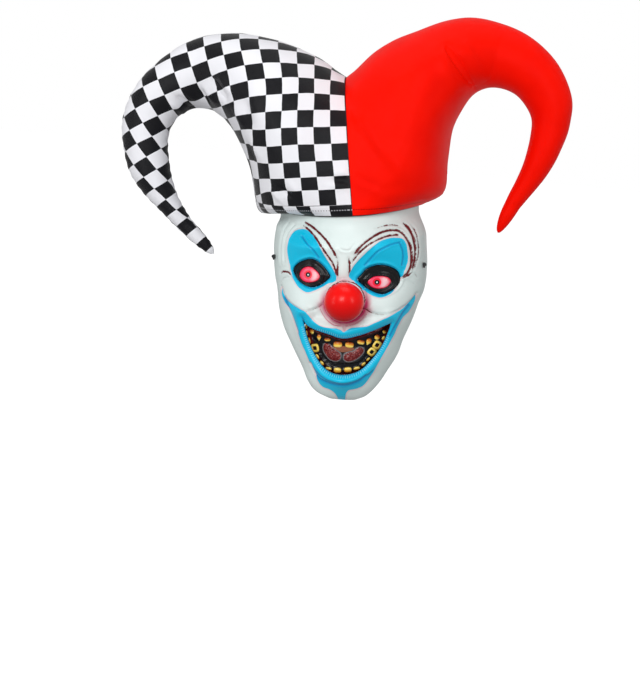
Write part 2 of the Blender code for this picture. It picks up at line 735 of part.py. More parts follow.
def build_hat_half(word, side, table, tip, reach, hem_half, finish, collection, cutters, hat):
    rings, depths, end = horn_rings(table, tip, reach, hem_half)
    rings = rings * (side, 1, 1)
    bm = bmesh.new()
    rows = add_rows(bm, rings, closed=True)
    point = bm.verts.new(end * (side, 1, 1))
    for i, vert in enumerate(rows[-1]):
        bm.faces.new((vert, rows[-1][(i + 1) % RING_POINTS], point))
    if side < 0:
        bmesh.ops.reverse_faces(bm, faces=bm.faces)
    obj = add_object(f"hat_{word}", bm, collection, finish, hat)
    group = obj.vertex_groups.new(name="wall")
    for i, depth in enumerate(depths):
        weight = min(1.0, 0.45 * depth / HAT_WALL)
        group.add(range(i * RING_POINTS, (i + 1) * RING_POINTS), weight, "REPLACE")
    group.add([len(rings) * RING_POINTS], 1.0, "REPLACE")
    solidify(obj, HAT_WALL, "wall")
    bm = bmesh.new()
    bmesh.ops.create_cube(bm, size=1.0)
    beyond = add_cutter(f"seam_cut_{word}", bm, cutters, hat)
    size = 4 * HEM_DEPTH
    beyond.scale = (size, size, size)
    beyond.location = (-side * (size / 2 - GAP / 2), 0, CROWN_RISE / 2)
    cut(obj, beyond)
    return obj


def build_binding(collection, hat):
    """A thin band inside the hem, from just under it upward."""
    turn = np.linspace(0, 2 * math.pi, 4 * HEM_STEPS, endpoint=False)
    inset = HAT_WALL + BINDING_GAP
    half = np.where(np.cos(turn) < 0, HEM_LEFT, HEM_RIGHT) - inset
    x = half * np.cos(turn)
    y = (HEM_DEPTH - inset) * np.sin(turn)
    level = hem_height(np.abs(np.sin(turn))) - BINDING_SHOWS
    rows = [np.stack((x, y, level + rise), -1) for rise in (0.0, BINDING_HEIGHT)]
    bm = bmesh.new()
    add_rows(bm, np.array(rows), closed=True)
    obj = add_object("hem_binding", bm, collection, "black_satin", hat)
    solidify(obj, BINDING_WALL)
    return obj


def wall_side(side, drop, back=STRAP_BACK):
    """Half width of the shell's outer side at a cord hole."""
    left, right, front, rim = (float(value) for value in face_section(np.array(-drop)))
    profile = (back - rim) / (front - rim)
    across = (1 - max(profile, 0.0) ** SECTION_ROUND) ** (1 / SECTION_ROUND)
    return across * (left if side < 0 else right)


def build_elastic(collection):
    """The elastic as a round tube, from just inside one knot to the other."""
    left = (CORD_START - wall_side(-1, STRAP_DROP_LEFT), -STRAP_BACK, -STRAP_DROP_LEFT)
    right = (wall_side(1, STRAP_DROP_RIGHT) - CORD_START, -STRAP_BACK, -STRAP_DROP_RIGHT)
    route = smooth_rows((left, *CORD_ROUTE, right), np.linspace(0, 1, CORD_POINTS))
    curve = bpy.data.curves.new("elastic_cord", "CURVE")
    curve.dimensions = "3D"
    curve.bevel_depth = CORD_DIAMETER / 2
    curve.bevel_resolution = 2
    curve.use_fill_caps = True
    spline = curve.splines.new("POLY")
    spline.points.add(len(route) - 1)
    for place, point in zip(route, spline.points):
        point.co = (*place, 1.0)
    curve.materials.append(finish_named("black_elastic"))
    collection.objects.link(bpy.data.objects.new("elastic_cord", curve))
    for side, word, drop in ((-1, "left", STRAP_DROP_LEFT), (1, "right", STRAP_DROP_RIGHT)):
        bm = bmesh.new()
        bmesh.ops.create_uvsphere(bm, u_segments=12, v_segments=6, radius=KNOT_RADIUS)
        knot = add_object(f"knot_{word}", bm, collection, "black_elastic")
        wall = wall_side(side, drop)
        ahead = wall_side(side, drop, STRAP_BACK + KNOT_RADIUS)
        slant = math.atan2(wall - ahead, KNOT_RADIUS)
        outward = Vector((side * math.cos(slant), -math.sin(slant), 0))
        knot.scale = (KNOT_FLAT, 1.0, 1.2)
        knot.rotation_euler = (0, 0, -side * slant)
        at_wall = Vector((side * wall, -STRAP_BACK, -drop))
        knot.location = at_wall + outward * (KNOT_RADIUS * KNOT_FLAT + 2 * GAP)


def main():
    clear_scene()
    mask = new_collection("jester_mask")
    cutters = new_collection("cutters")
    hat = bpy.data.objects.new("hat_frame", None)
    hat.location = (HAT_SHIFT, 0, 0)
    hat.rotation_euler = (0, -HAT_TILT, 0)
    mask.objects.link(hat)
    build_shell(mask, cutters)
    for side, word in ((-1, "left"), (1, "right")):
        build_eye(side, word, mask)
    build_nose(mask, cutters)
    build_mouth(mask)
    edge = np.array(MOUTH_EDGE) * (MOUTH_HALF, -MOUTH_HEIGHT) + (MOUTH_SIDE, -MOUTH_DROP)
    build_teeth("upper_teeth", UPPER_TEETH, edge[MOUTH_UPPER], -1, mask)
    build_teeth("lower_teeth", LOWER_TEETH, edge[list(MOUTH_LOWER)], 1, mask)
    build_tongue(mask)
    build_hat_half("left", -1, LEFT_HORN, LEFT_TIP, LEFT_REACH, HEM_LEFT, "check_satin",
                   mask, cutters, hat)
    build_hat_half("right", 1, RIGHT_HORN, RIGHT_TIP, RIGHT_REACH, HEM_RIGHT, "red_satin",
                   mask, cutters, hat)
    build_binding(mask, hat)
    build_elastic(mask)
    bpy.context.view_layer.update()


main()
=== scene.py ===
"""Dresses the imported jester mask: painted shell, eyes, nose and mouth, satin hat and elastic.

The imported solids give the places. Each piece here is built finer over its solid, from the same
named sizes, and is painted and finished with nodes. Metres, +Z up, and the face looks along -Y.
"""

import logging
import math
from dataclasses import dataclass
from enum import Enum
from typing import Sequence, Union

import bpy
import numpy as np
from mathutils import Matrix, Vector, noise


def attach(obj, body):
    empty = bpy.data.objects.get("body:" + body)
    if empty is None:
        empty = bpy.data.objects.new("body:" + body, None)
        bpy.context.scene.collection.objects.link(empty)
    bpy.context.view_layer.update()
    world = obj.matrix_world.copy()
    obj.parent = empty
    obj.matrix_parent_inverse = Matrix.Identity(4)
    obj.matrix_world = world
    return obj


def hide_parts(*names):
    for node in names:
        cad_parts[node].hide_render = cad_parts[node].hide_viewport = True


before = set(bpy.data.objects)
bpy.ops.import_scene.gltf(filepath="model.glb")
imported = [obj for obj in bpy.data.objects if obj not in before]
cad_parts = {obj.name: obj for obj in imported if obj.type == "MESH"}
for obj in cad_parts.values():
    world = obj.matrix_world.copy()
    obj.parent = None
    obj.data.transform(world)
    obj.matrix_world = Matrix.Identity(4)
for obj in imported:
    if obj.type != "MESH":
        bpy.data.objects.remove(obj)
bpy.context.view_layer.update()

log = logging.getLogger("jester_mask")

MM = 0.001
Array = np.ndarray
Number = Union[float, "Value"]
Points = Sequence[Sequence[float]]

# Numbers of a colour mix's sockets: its share, its two colours and its result
MIX_SHARE, MIX_FIRST, MIX_SECOND, MIX_RESULT = 0, 6, 7, 2


# Shader graphs


class Value:
    """A shader socket that takes part in Python arithmetic."""

    def __init__(self, graph: "Graph", socket: bpy.types.NodeSocket) -> None:
        """Keeps the socket and the graph that it belongs to."""
        self.graph = graph
        self.socket = socket

    def joined(self, operation: str, *inputs: Number) -> "Value":
        """Adds a Math node.

        Args:
            operation: The Math node's operation.
            inputs: Its inputs in order.

        Returns:
            The node's result.
        """
        node = self.graph.node("ShaderNodeMath", {"operation": operation}, dict(enumerate(inputs)))
        return Value(self.graph, node.outputs[0])

    def __add__(self, other: Number) -> "Value":
        """The sum."""
        return self.joined("ADD", self, other)

    def __radd__(self, other: Number) -> "Value":
        """The sum, with this on the right."""
        return self.joined("ADD", other, self)

    def __sub__(self, other: Number) -> "Value":
        """The difference."""
        return self.joined("SUBTRACT", self, other)

    def __rsub__(self, other: Number) -> "Value":
        """The difference, with this on the right."""
        return self.joined("SUBTRACT", other, self)

    def __mul__(self, other: Number) -> "Value":
        """The product."""
        return self.joined("MULTIPLY", self, other)

    def __truediv__(self, other: Number) -> "Value":
        """The quotient."""
        return self.joined("DIVIDE", self, other)

    def largest(self, other: Number) -> "Value":
        """The larger of the two."""
        return self.joined("MAXIMUM", self, other)

    def size(self) -> "Value":
        """The value without its sign."""
        return self.joined("ABSOLUTE", self)

    def wave(self) -> "Value":
        """The sine."""
        return self.joined("SINE", self)

    def step(self, low: float, high: float) -> "Value":
        """A smooth step from 0 to 1.

        Args:
            low: The value that gives 0.
            high: The value that gives 1, which may be the lower one.

        Returns:
            The step's result.
        """
        settings = {"interpolation_type": "SMOOTHSTEP"}
        if high < low:
            return 1 - self.step(high, low)
        sockets = {"Value": self, "From Min": low, "From Max": high}
        return Value(self.graph, self.graph.node("ShaderNodeMapRange", settings, sockets).outputs[0])


class Graph:
    """The node tree of one finish, with its main shader."""

    def __init__(self, name: str) -> None:
        """Makes an empty material of that name with one Principled shader."""
        self.material = bpy.data.materials.new(name)
        self.material.use_nodes = True
        self.tree = self.material.node_tree
        self.tree.nodes.clear()
        self.shader = self.tree.nodes.new("ShaderNodeBsdfPrincipled")
        output = self.tree.nodes.new("ShaderNodeOutputMaterial")
        self.tree.links.new(self.shader.outputs[0], output.inputs["Surface"])

    def fill(self, node: bpy.types.Node, key: Union[str, int], given: object) -> None:
        """Links or sets one input.

        Args:
            node: The node.
            key: The input's name or number.
            given: A Value, a socket, or a plain value.
        """
        if isinstance(given, Value):
            given = given.socket
        if isinstance(given, bpy.types.NodeSocket):
            self.tree.links.new(given, node.inputs[key])
        elif isinstance(given, tuple) and len(given) == 3 and node.inputs[key].type == "RGBA":
            node.inputs[key].default_value = (*given, 1.0)
        else:
            node.inputs[key].default_value = given

    def node(self, kind: str, settings: dict | None = None,
             sockets: dict | None = None) -> bpy.types.Node:
        """Adds any node.

        Args:
            kind: The node's type.
            settings: Its own settings, and a ramp's stops under "stops", set first.
            sockets: Input names or numbers, with the values or links that they get.

        Returns:
            The node.
        """
        node = self.tree.nodes.new(kind)
        for key, given in (settings or {}).items():
            if key == "stops":
                ramp = node.color_ramp.elements
                while len(ramp) < len(given):
                    ramp.new(0.5)
                for element, (place, colour) in zip(ramp, given):
                    element.position = place
                    element.color = (*colour, 1.0)
            else:
                setattr(node, key, given)
        for key, given in (sockets or {}).items():
            self.fill(node, key, given)
        return node

    def stored(self, name: str) -> Value:
        """A number that the mesh stores at each point, by its name."""
        return Value(self, self.node("ShaderNodeAttribute", {"attribute_name": name}).outputs["Fac"])

    def place(self) -> bpy.types.NodeSocket:
        """The surface's place, in metres."""
        return self.node("ShaderNodeTexCoord").outputs["Object"]

    def speckle(self, scale: float, detail: float = 3.0, rough: float = 0.55, warp: float = 0.0) -> Value:
        """A noise over the surface.

        Args:
            scale: Its scale for a metre.
            detail: Its octaves.
            rough: How much the fine ones weigh.
            warp: How far it is distorted.

        Returns:
            The noise, about 0.5 on average.
        """
        sockets = {"Vector": self.place(), "Scale": scale, "Detail": detail, "Roughness": rough,
                   "Distortion": warp}
        return Value(self, self.node("ShaderNodeTexNoise", None, sockets).outputs["Fac"])

    def blend(self, share: Number, first: object, second: object) -> bpy.types.NodeSocket:
        """Mixes two colours.

        Args:
            share: How much of the second there is.
            first: The first colour, as three numbers or a socket.
            second: The second colour.

        Returns:
            The colour's socket.
        """
        sockets = {MIX_SHARE: share, MIX_FIRST: first, MIX_SECOND: second}
        return self.node("ShaderNodeMix", {"data_type": "RGBA"}, sockets).outputs[MIX_RESULT]

    def bump(self, height: Number, distance: float, strength: float = 1.0) -> None:
        """Feeds a height in metres times the distance to the shader's normal.

        Args:
            height: The height, 0 to 1.
            distance: What 1 stands for, in metres.
            strength: How much of it shows.
        """
        sockets = {"Height": height, "Distance": distance, "Strength": strength}
        normal = self.node("ShaderNodeBump", None, sockets).outputs[0]
        self.tree.links.new(normal, self.shader.inputs["Normal"])

    def paint(self, **sockets: object) -> bpy.types.Material:
        """Sets the shader's inputs, with spaces in their names as underscores.

        Args:
            sockets: The inputs and what they get.

        Returns:
            The finished material.
        """
        for key, given in sockets.items():
            self.fill(self.shader, key.replace("_", " "), given)
        return self.material


# Curves and meshes


def smooth_rows(rows: Points, shares: Array) -> Array:
    """Reads a table's rows at shares of its length, on a Catmull-Rom curve.

    Args:
        rows: The table.
        shares: Places along it, 0 to 1.

    Returns:
        A row for each share.
    """
    rows = np.asarray(rows, float)
    at = np.clip(np.asarray(shares, float), 0.0, 1.0) * (len(rows) - 1)
    first = np.minimum(at.astype(int), len(rows) - 2)
    t = (at - first)[..., None]
    start = rows[first]
    end = rows[first + 1]
    before = np.where((first == 0)[..., None], 2 * start - end, rows[np.maximum(first - 1, 0)])
    last = (first == len(rows) - 2)[..., None]
    after = np.where(last, 2 * end - start, rows[np.minimum(first + 2, len(rows) - 1)])
    square = 2 * before - 5 * start + 4 * end - after
    cube = 3 * start - before - 3 * end + after
    return 0.5 * (2 * start + (end - before) * t + square * t**2 + cube * t**3)


def round_loop(points: Points, steps: int = 6) -> Array:
    """Closes a smooth loop through points in millimetres.

    Args:
        points: The points, as (side, height) in millimetres.
        steps: Points of the result for each point given.

    Returns:
        The loop in metres.
    """
    ends = [points[-1], *points, points[0], points[1]]
    count = len(points)
    shares = (1 + np.arange(count * steps) / steps) / (len(ends) - 1)
    return smooth_rows(ends, shares) * MM


def open_line(points: Points, steps: int = 6) -> Array:
    """A smooth open line through points in millimetres, in metres.

    Args:
        points: The points, as (side, height) in millimetres.
        steps: Points of the result for each point given.

    Returns:
        The line in metres.
    """
    return smooth_rows(points, np.linspace(0, 1, (len(points) - 1) * steps + 1)) * MM


def smooth_step(value: Array) -> Array:
    """0 below 0, 1 above 1, and smooth between."""
    value = np.clip(value, 0.0, 1.0)
    return value * value * (3 - 2 * value)


def mound(value: Array) -> Array:
    """A bell that is 1 at 0."""
    return np.exp(-np.square(value))


def ridge(off: Array, half: float, tall: float = 1.0, at: Union[float, Array] = 0.0) -> Array:
    """A rounded ridge beside a line, or a groove where it is taken off.

    Args:
        off: Distance to the line, in millimetres.
        half: The ridge's half width.
        tall: Its height.
        at: How far from the line it runs.

    Returns:
        The height at each place.
    """
    return tall * mound((off - at) / half)


def full_turn(count: int) -> Array:
    """Even angles once round."""
    return np.linspace(0, 2 * math.pi, count, endpoint=False)


def line_distance(x: Array, z: Array, line: Array) -> tuple[Array, Array]:
    """Distance to a line of points in the front view.

    Args:
        x: Sides.
        z: Heights.
        line: The line's points.

    Returns:
        The distance, and the length along the line of the nearest point.
    """
    point = np.stack((x, z), -1).reshape(-1, 1, 2)
    best = np.full(len(point), 1e9)
    run = np.zeros(len(point))
    start = line[:-1]
    side = line[1:] - start
    length = np.linalg.norm(side, axis=1)
    before = np.concatenate(((0.0,), np.cumsum(length)))[:-1]
    for low in range(0, len(start), 24):
        a, s, n, b = (part[low:low + 24] for part in (start, side, length, before))
        along = np.clip(((point - a) * s).sum(-1) / np.maximum(n * n, 1e-18), 0, 1)
        off = np.linalg.norm(point - (a + along[..., None] * s), axis=-1)
        pick = off.argmin(1)
        rows = np.arange(len(point))
        nearer = off[rows, pick] < best
        best = np.where(nearer, off[rows, pick], best)
        run = np.where(nearer, (b + along * n)[rows, pick], run)
    return best.reshape(x.shape), run.reshape(x.shape)


def inside_loop(x: Array, z: Array, loop: Array) -> Array:
    """Whether points of the front view lie inside a closed loop.

    Args:
        x: Sides.
        z: Heights.
        loop: The loop's points.

    Returns:
        True for each point inside.
    """
    inside = np.zeros(x.shape, bool)
    for a, b in zip(loop, np.roll(loop, -1, axis=0)):
        if a[1] == b[1]:
            continue
        between = (a[1] <= z) != (b[1] <= z)
        inside ^= between & (x < a[0] + (z - a[1]) / (b[1] - a[1]) * (b[0] - a[0]))
    return inside


def loop_distance(x: Array, z: Array, loop: Array) -> Array:
    """Distance to a closed loop, below zero inside it."""
    off = line_distance(x, z, np.concatenate((loop, loop[:1])))[0]
    return np.where(inside_loop(x, z, loop), -off, off)


def grid_normals(points: Array) -> Array:
    """Unit normals of a grid of points, on the side that a right-handed grid shows.

    Args:
        points: The grid, rows by columns by three.

    Returns:
        A normal for each point.
    """
    down = np.gradient(points, axis=0)
    along = np.gradient(points, axis=1)
    normal = np.cross(down, along)
    return normal / np.maximum(np.linalg.norm(normal, axis=-1, keepdims=True), 1e-12)


def grid_faces(rows: int, columns: int, closed: bool = False, start: int = 0) -> Array:
    """Quads of a grid whose points are numbered row by row.

    Args:
        rows: Its rows.
        columns: Its columns.
        closed: Whether the last column joins the first.
        start: The first point's number.

    Returns:
        The quads.
    """
    along = columns if closed else columns - 1
    r, c = np.meshgrid(np.arange(rows - 1), np.arange(along), indexing="ij")
    d = (c + 1) % columns
    corners = (r * columns + c, (r + 1) * columns + c, (r + 1) * columns + d, r * columns + d)
    return np.stack([corner.ravel() for corner in corners], -1) + start


def open_edges(faces: Array) -> Array:
    """The edges of a mesh of quads that one face alone has, in that face's direction."""
    pairs = np.concatenate([faces[:, (i, (i + 1) % 4)] for i in range(4)])
    _, index, count = np.unique(np.sort(pairs, axis=1), axis=0, return_index=True, return_counts=True)
    return pairs[index[count == 1]]


def lumps(points: Array, size: float, seed: float = 0.0) -> Array:
    """Smooth noise at points.

    Args:
        points: The points, in metres.
        size: The size of a lump, in metres.
        seed: A shift that gives another pattern.

    Returns:
        Values from about -1 to 1.
    """
    flat = points.reshape(-1, 3) / size + seed
    return np.array([noise.noise(Vector(place)) for place in flat]).reshape(points.shape[:-1])


def make_piece(name: str, points: Array, faces: Sequence, stored: dict[str, Array] | None = None,
               finish: bpy.types.Material | None = None) -> bpy.types.Object:
    """Makes a smooth-shaded piece.

    Args:
        name: Its name.
        points: Its points, in metres.
        faces: Its faces, as point numbers.
        stored: Numbers to keep at each point, by name.
        finish: Its material.

    Returns:
        The object.
    """
    mesh = bpy.data.meshes.new(name)
    flat = np.asarray(points, float).reshape(-1, 3)
    mesh.from_pydata(flat.tolist(), [], [list(map(int, face)) for face in faces])
    for key, values in (stored or {}).items():
        layer = mesh.attributes.new(key, "FLOAT", "POINT")
        layer.data.foreach_set("value", np.asarray(values, np.float32).ravel())
    mesh.shade_smooth()
    mesh.update()
    obj = bpy.data.objects.new(name, mesh)
    bpy.context.scene.collection.objects.link(obj)
    if finish:
        mesh.materials.append(finish)
    return obj


def settle(obj: bpy.types.Object, slot: str, *nodes: str) -> None:
    """Puts a piece on the mask in place of its solids.

    Args:
        obj: The piece.
        slot: The material slot of the record that it follows.
        nodes: The solids that it stands for.
    """
    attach(obj, "root")
    if nodes:
        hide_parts(*nodes)
    log.info("%s: %d faces, slot %s", obj.name, len(getattr(obj.data, "polygons", ())), slot)


# Finishes


@dataclass(frozen=True)
class ShellPaint:
    """Pale moulded plastic with airbrushed blue, dark red lines and a blush round the nose, with painted
    shade in its creases and towards its sides and a painted highlight and shade on the lip ribs.
    """

    white: tuple = (0.70, 0.79, 0.775)
    grey: tuple = (0.46, 0.56, 0.545)
    blue: tuple = (0.0, 0.50, 0.75)
    shaded_blue: tuple = (0.0, 0.12, 0.40)
    line: tuple = (0.13, 0.003, 0.006)
    blush: tuple = (0.50, 0.022, 0.105)
    pink: tuple = (0.78, 0.20, 0.27)

    def material(self) -> bpy.types.Material:
        """The finish as a material."""
        graph = Graph("shell_paint")
        cloud = graph.speckle(38, 4)
        grain = graph.speckle(420, 3, 0.7)
        edge = graph.stored("blue_edge") + (graph.speckle(260, 2) - 0.5) * 0.5
        is_blue = edge.step(0.22, -0.22)
        ground = graph.blend(cloud.step(0.55, 0.95) * 0.35, self.white, self.grey)
        # Painted shade: the shade layer greys the white beside lines and creases and towards the sides
        ground = graph.blend(graph.stored("shade") * (0.55 + cloud * 0.5), ground, self.grey)
        ground = graph.blend(edge.step(2.2, 0.3) * 0.34 * graph.stored("pink"), ground, self.pink)
        ground = graph.blend(graph.stored("blush") * (0.6 + cloud * 0.7), ground, self.blush)
        blue = graph.blend(cloud.step(0.3, 0.8) * 0.25, self.blue, (0.0, 0.54, 0.80))
        rib = (graph.stored("lip_run") * (2 * math.pi / 2.3) + graph.speckle(160, 2) * 3.0).wave()
        rib = rib * graph.stored("ribbed")
        # Painted highlight on the rib crests and painted shade in the rib hollows
        blue = graph.blend(rib.step(0.1, 0.9) * 0.6, blue, (0.30, 0.68, 0.90))
        blue = graph.blend(rib.step(-0.1, -0.9) * 0.30, blue, self.shaded_blue)
        # Painted shade: the deep layer darkens the blue in creases, folds and round the lids and mouth
        blue = graph.blend(graph.stored("deep"), blue, self.shaded_blue)
        colour = graph.blend(is_blue, ground, blue)
        dry = (grain - 0.5) * 0.9 + (graph.speckle(900, 2) - 0.5) * 0.5
        lines = (graph.stored("line") + dry * graph.stored("line").step(0.05, 0.4)).step(0.20, 0.50)
        colour = graph.blend(lines, colour, self.line)
        height = grain * 0.5 + graph.speckle(1500, 2) * 0.2 + is_blue * 0.35 + rib * 0.8
        graph.bump(height, 0.00018, 0.7)
        rough = 0.42 + (cloud - 0.5) * 0.16 - is_blue * 0.06
        return graph.paint(Base_Color=colour, Roughness=rough, Specular_IOR_Level=0.28, Coat_Weight=0.04,
                           Coat_Roughness=0.25)


@dataclass(frozen=True)
class GlossBlack:
    """Wet black paint with a few raised streaks, lighter both as scuffs and as a painted sheen."""

    colour: tuple = (0.003, 0.003, 0.004)
    scuff_and_sheen: tuple = (0.045, 0.045, 0.05)

    def material(self) -> bpy.types.Material:
        """The finish as a material."""
        graph = Graph("lid_black")
        streak = graph.speckle(240, 4, 0.6, 1.2)
        # Lighter streaks: scuffs, and also a painted sheen on the raised streaks
        colour = graph.blend(streak.step(0.60, 0.78) * 0.3, self.colour, self.scuff_and_sheen)
        graph.bump(streak + graph.speckle(900, 2) * 0.3, 0.0004, 0.8)
        rough = 0.16 + streak.step(0.5, 0.8) * 0.22
        return graph.paint(Base_Color=colour, Roughness=rough, Specular_IOR_Level=0.16, Coat_Weight=0.30,
                           Coat_Roughness=0.04)


@dataclass(frozen=True)
class MouthBlack:
    """Wet black plastic with dark red gums and lighter streaks, which are scuffs and a painted sheen."""

    black: tuple = (0.004, 0.004, 0.006)
    gum: tuple = (0.26, 0.006, 0.006)
    scuff_and_sheen: tuple = (0.06, 0.055, 0.065)

    def material(self) -> bpy.types.Material:
        """The finish as a material."""
        graph = Graph("mouth_black")
        streak = graph.speckle(300, 4, 0.6, 1.0)
        colour = graph.blend(graph.stored("gum") * (0.5 + streak), self.black, self.gum)
        # Lighter streaks: scuffs, and also a painted sheen
        colour = graph.blend(streak.step(0.6, 0.8) * 0.5, colour, self.scuff_and_sheen)
        graph.bump(streak, 0.0004, 0.7)
        return graph.paint(Base_Color=colour, Roughness=0.17 + streak * 0.15, Specular_IOR_Level=0.16,
                           Coat_Weight=0.12, Coat_Roughness=0.06)


@dataclass(frozen=True)
class EyePaint:
    """Pink eyeball, paler on its right side as a painted highlight, with a hot red iris, a black pupil and
    a painted white catch-light at the pupil's centre.
    """

    pale: tuple = (0.93, 0.58, 0.62)
    hot: tuple = (0.86, 0.012, 0.06)
    iris: tuple = (0.92, 0.004, 0.03)
    dark: tuple = (0.012, 0.012, 0.014)
    painted_catchlight: tuple = (0.75, 0.92, 0.93)

    def material(self) -> bpy.types.Material:
        """The finish as a material."""
        graph = Graph("eye_paint")
        far = graph.stored("from_pupil")
        rim = graph.stored("rim")
        vein = graph.speckle(700, 3, 0.6, 1.5)
        # Painted highlight: paler pink on the pupil's right side
        colour = graph.blend(graph.stored("aside").step(0.5, 8.5), (0.92, 0.10, 0.19), self.pale)
        colour = graph.blend((rim + (vein - 0.5) * 0.35).step(0.66, 1.0), colour, self.hot)
        colour = graph.blend(vein.step(0.6, 0.75) * 0.4, colour, self.hot)
        colour = graph.blend((far + (vein - 0.5) * 1.2).step(5.2, 4.0), colour, self.iris)
        colour = graph.blend((far - 3.1).size().step(0.5, 0.0) * 0.15, colour, (0.95, 0.2, 0.25))
        colour = graph.blend(far.step(2.95, 2.5), colour, self.dark)
        # Painted catch-light: the white dot at the pupil's centre
        colour = graph.blend(far.step(1.05, 0.7), colour, self.painted_catchlight)
        graph.bump(vein, 0.0001, 0.4)
        return graph.paint(Base_Color=colour, Roughness=0.16, Specular_IOR_Level=0.16, Coat_Weight=0.14,
                           Coat_Roughness=0.05)


@dataclass(frozen=True)
class NosePaint:
    """Glossy red lacquer, darker low down as painted shade."""

    red: tuple = (0.82, 0.002, 0.001)
    deep: tuple = (0.46, 0.0, 0.001)

    def material(self) -> bpy.types.Material:
        """The finish as a material."""
        graph = Graph("nose_lacquer")
        cloud = graph.speckle(60, 2)
        # Painted shade: darker red low on the ball
        colour = graph.blend(graph.stored("low") * 0.75, self.red, self.deep)
        graph.bump(graph.speckle(160, 3) + cloud, 0.0003, 0.35)
        rough = 0.27 + cloud * 0.08
        return graph.paint(Base_Color=colour, Roughness=rough, Specular_IOR_Level=0.14, Coat_Weight=0.12,
                           Coat_Roughness=0.20)


@dataclass(frozen=True)
class ToothPaint:
    """Yellow enamel with brown roots and, on a molar, a dark hole."""

    yellow: tuple = (1.0, 0.66, 0.07)
    cream: tuple = (1.0, 0.84, 0.26)
    orange: tuple = (0.78, 0.27, 0.012)
    brown: tuple = (0.24, 0.035, 0.004)
    dark: tuple = (0.008, 0.006, 0.010)

    def material(self) -> bpy.types.Material:
        """The finish as a material."""
        graph = Graph("tooth_paint")
        stain = graph.speckle(520, 3, 0.6)
        root = graph.stored("root") + (stain - 0.5) * 0.5
        colour = graph.blend(stain.step(0.35, 0.7), self.yellow, self.cream)
        colour = graph.blend(root.step(0.08, 0.48), colour, self.orange)
        colour = graph.blend(root.step(0.36, 0.76), colour, self.brown)
        colour = graph.blend(graph.stored("hole").step(0.35, 0.6), colour, self.dark)
        colour = graph.blend(graph.stored("rim").step(0.82, 0.98) * 0.9, colour, self.dark)
        graph.bump(stain, 0.0003, 0.6)
        return graph.paint(Base_Color=colour, Roughness=0.24, Specular_IOR_Level=0.3, Coat_Weight=0.2,
                           Coat_Roughness=0.1)


@dataclass(frozen=True)
class TonguePaint:
    """Dark red and brown wet flesh with grey rims."""

    flesh: tuple = (0.15, 0.008, 0.008)
    bright: tuple = (0.58, 0.14, 0.12)
    rim: tuple = (0.22, 0.22, 0.23)
    brown: tuple = (0.30, 0.10, 0.05)

    def material(self) -> bpy.types.Material:
        """The finish as a material."""
        graph = Graph("tongue_paint")
        bud = Value(graph, graph.node("ShaderNodeTexVoronoi", None, {
            "Vector": graph.place(), "Scale": 620.0}).outputs["Distance"])
        fleck = graph.speckle(500, 3, 0.65)
        flesh = graph.blend(fleck.step(0.54, 0.66) * 0.8, self.flesh, self.bright)
        colour = graph.blend(graph.stored("lobe"), (0.010, 0.009, 0.011), flesh)
        colour = graph.blend(graph.stored("brown") * 0.9, colour, self.brown)
        colour = graph.blend(graph.stored("edge") * (0.4 + fleck), colour, self.rim)
        graph.bump(bud + fleck * 0.5, 0.0005, 0.8)
        return graph.paint(Base_Color=colour, Roughness=0.2, Specular_IOR_Level=0.3, Coat_Weight=0.25,
                           Coat_Roughness=0.06)


class Cloth(Enum):
    """The hat's two cloths."""

    CHECKED = "checked_satin"
    RED = "red_satin"


@dataclass(frozen=True)
class SatinFinish:
    """Satin cloth with a fine weave, a stitched hem strip with painted shade along its fold, and dark
    outline seams.
    """

    cloth: Cloth
    square: float = 18.8
    shift: tuple = (-1.9, -3.8)
    white: tuple = (0.82, 0.82, 0.86)
    black: tuple = (0.006, 0.006, 0.008)
    red: tuple = (0.95, 0.005, 0.0)
    thread: tuple = (0.26, 0.0, 0.0)

    def weave(self, graph: Graph) -> Value:
        """The weave's height, from the cloth's own directions."""
        across = (graph.stored("cloth_u") * 14.0).wave()
        along = (graph.stored("cloth_v") * 14.0).wave()
        return across * 0.5 + along * 0.3 + graph.speckle(900, 2)

    def squares(self, graph: Graph) -> Value:
        """1 on a dark square and 0 on a pale one."""
        u = (graph.stored("cloth_u") + self.shift[0]) / self.square
        v = (graph.stored("cloth_v") + self.shift[1]) / self.square
        wander = (graph.speckle(70, 2) - 0.5) * 0.05
        across = ((u + wander) * math.pi).wave()
        along = ((v - wander) * math.pi).wave()
        return (across * along * 60.0).step(-0.5, 0.5)

    def strip(self, graph: Graph) -> Value:
        """1 on a dark block of the hem strip."""
        run = (graph.stored("hem_run") / 20.6 - 0.02).largest(0.05)
        return ((run * math.pi).wave() * 60.0).step(-0.5, 0.5)

    def material(self) -> bpy.types.Material:
        """The finish as a material."""
        graph = Graph(self.cloth.value)
        height = graph.stored("hem_height")
        low = height.step(11.8, 11.4)
        fold = (height - 11.6).size().step(0.9, 0.2)
        dash = (graph.stored("hem_run") * (2 * math.pi / 3.0)).wave().step(-0.1, 0.3)
        stitch = (height - 6.2).size().step(0.75, 0.35) * dash
        weave = self.weave(graph)
        if self.cloth is Cloth.CHECKED:
            dark = self.squares(graph)
            dark = dark * (1 - low) + self.strip(graph) * low
            colour = graph.blend(dark, self.white, self.black)
            colour = graph.blend(graph.stored("seam").step(0.9, 0.35), colour, (0.02, 0.02, 0.022))
            thread = graph.blend(dark, (0.22, 0.22, 0.24), (0.62, 0.62, 0.66))
            colour = graph.blend(stitch * 0.75, colour, thread)
            # Painted shade: a dark line along the hem strip's fold
            colour = graph.blend(fold * 0.25, colour, (0.03, 0.03, 0.035))
            rough = 0.40 + (weave - 0.5) * 0.05 - dark * 0.06
            gloss = 0.16
        else:
            colour = graph.blend(graph.speckle(30, 2).step(0.4, 0.8) * 0.2, self.red, (0.74, 0.0, 0.0))
            colour = graph.blend(stitch * 0.9, colour, self.thread)
            rough = 0.38 + (weave - 0.5) * 0.06
            fold = 0.0
            gloss = 0.04
        graph.bump(weave * 0.35 - stitch * 1.2 - fold * 1.0, 0.00022, 0.8)
        return graph.paint(Base_Color=colour, Roughness=rough, Specular_IOR_Level=gloss)


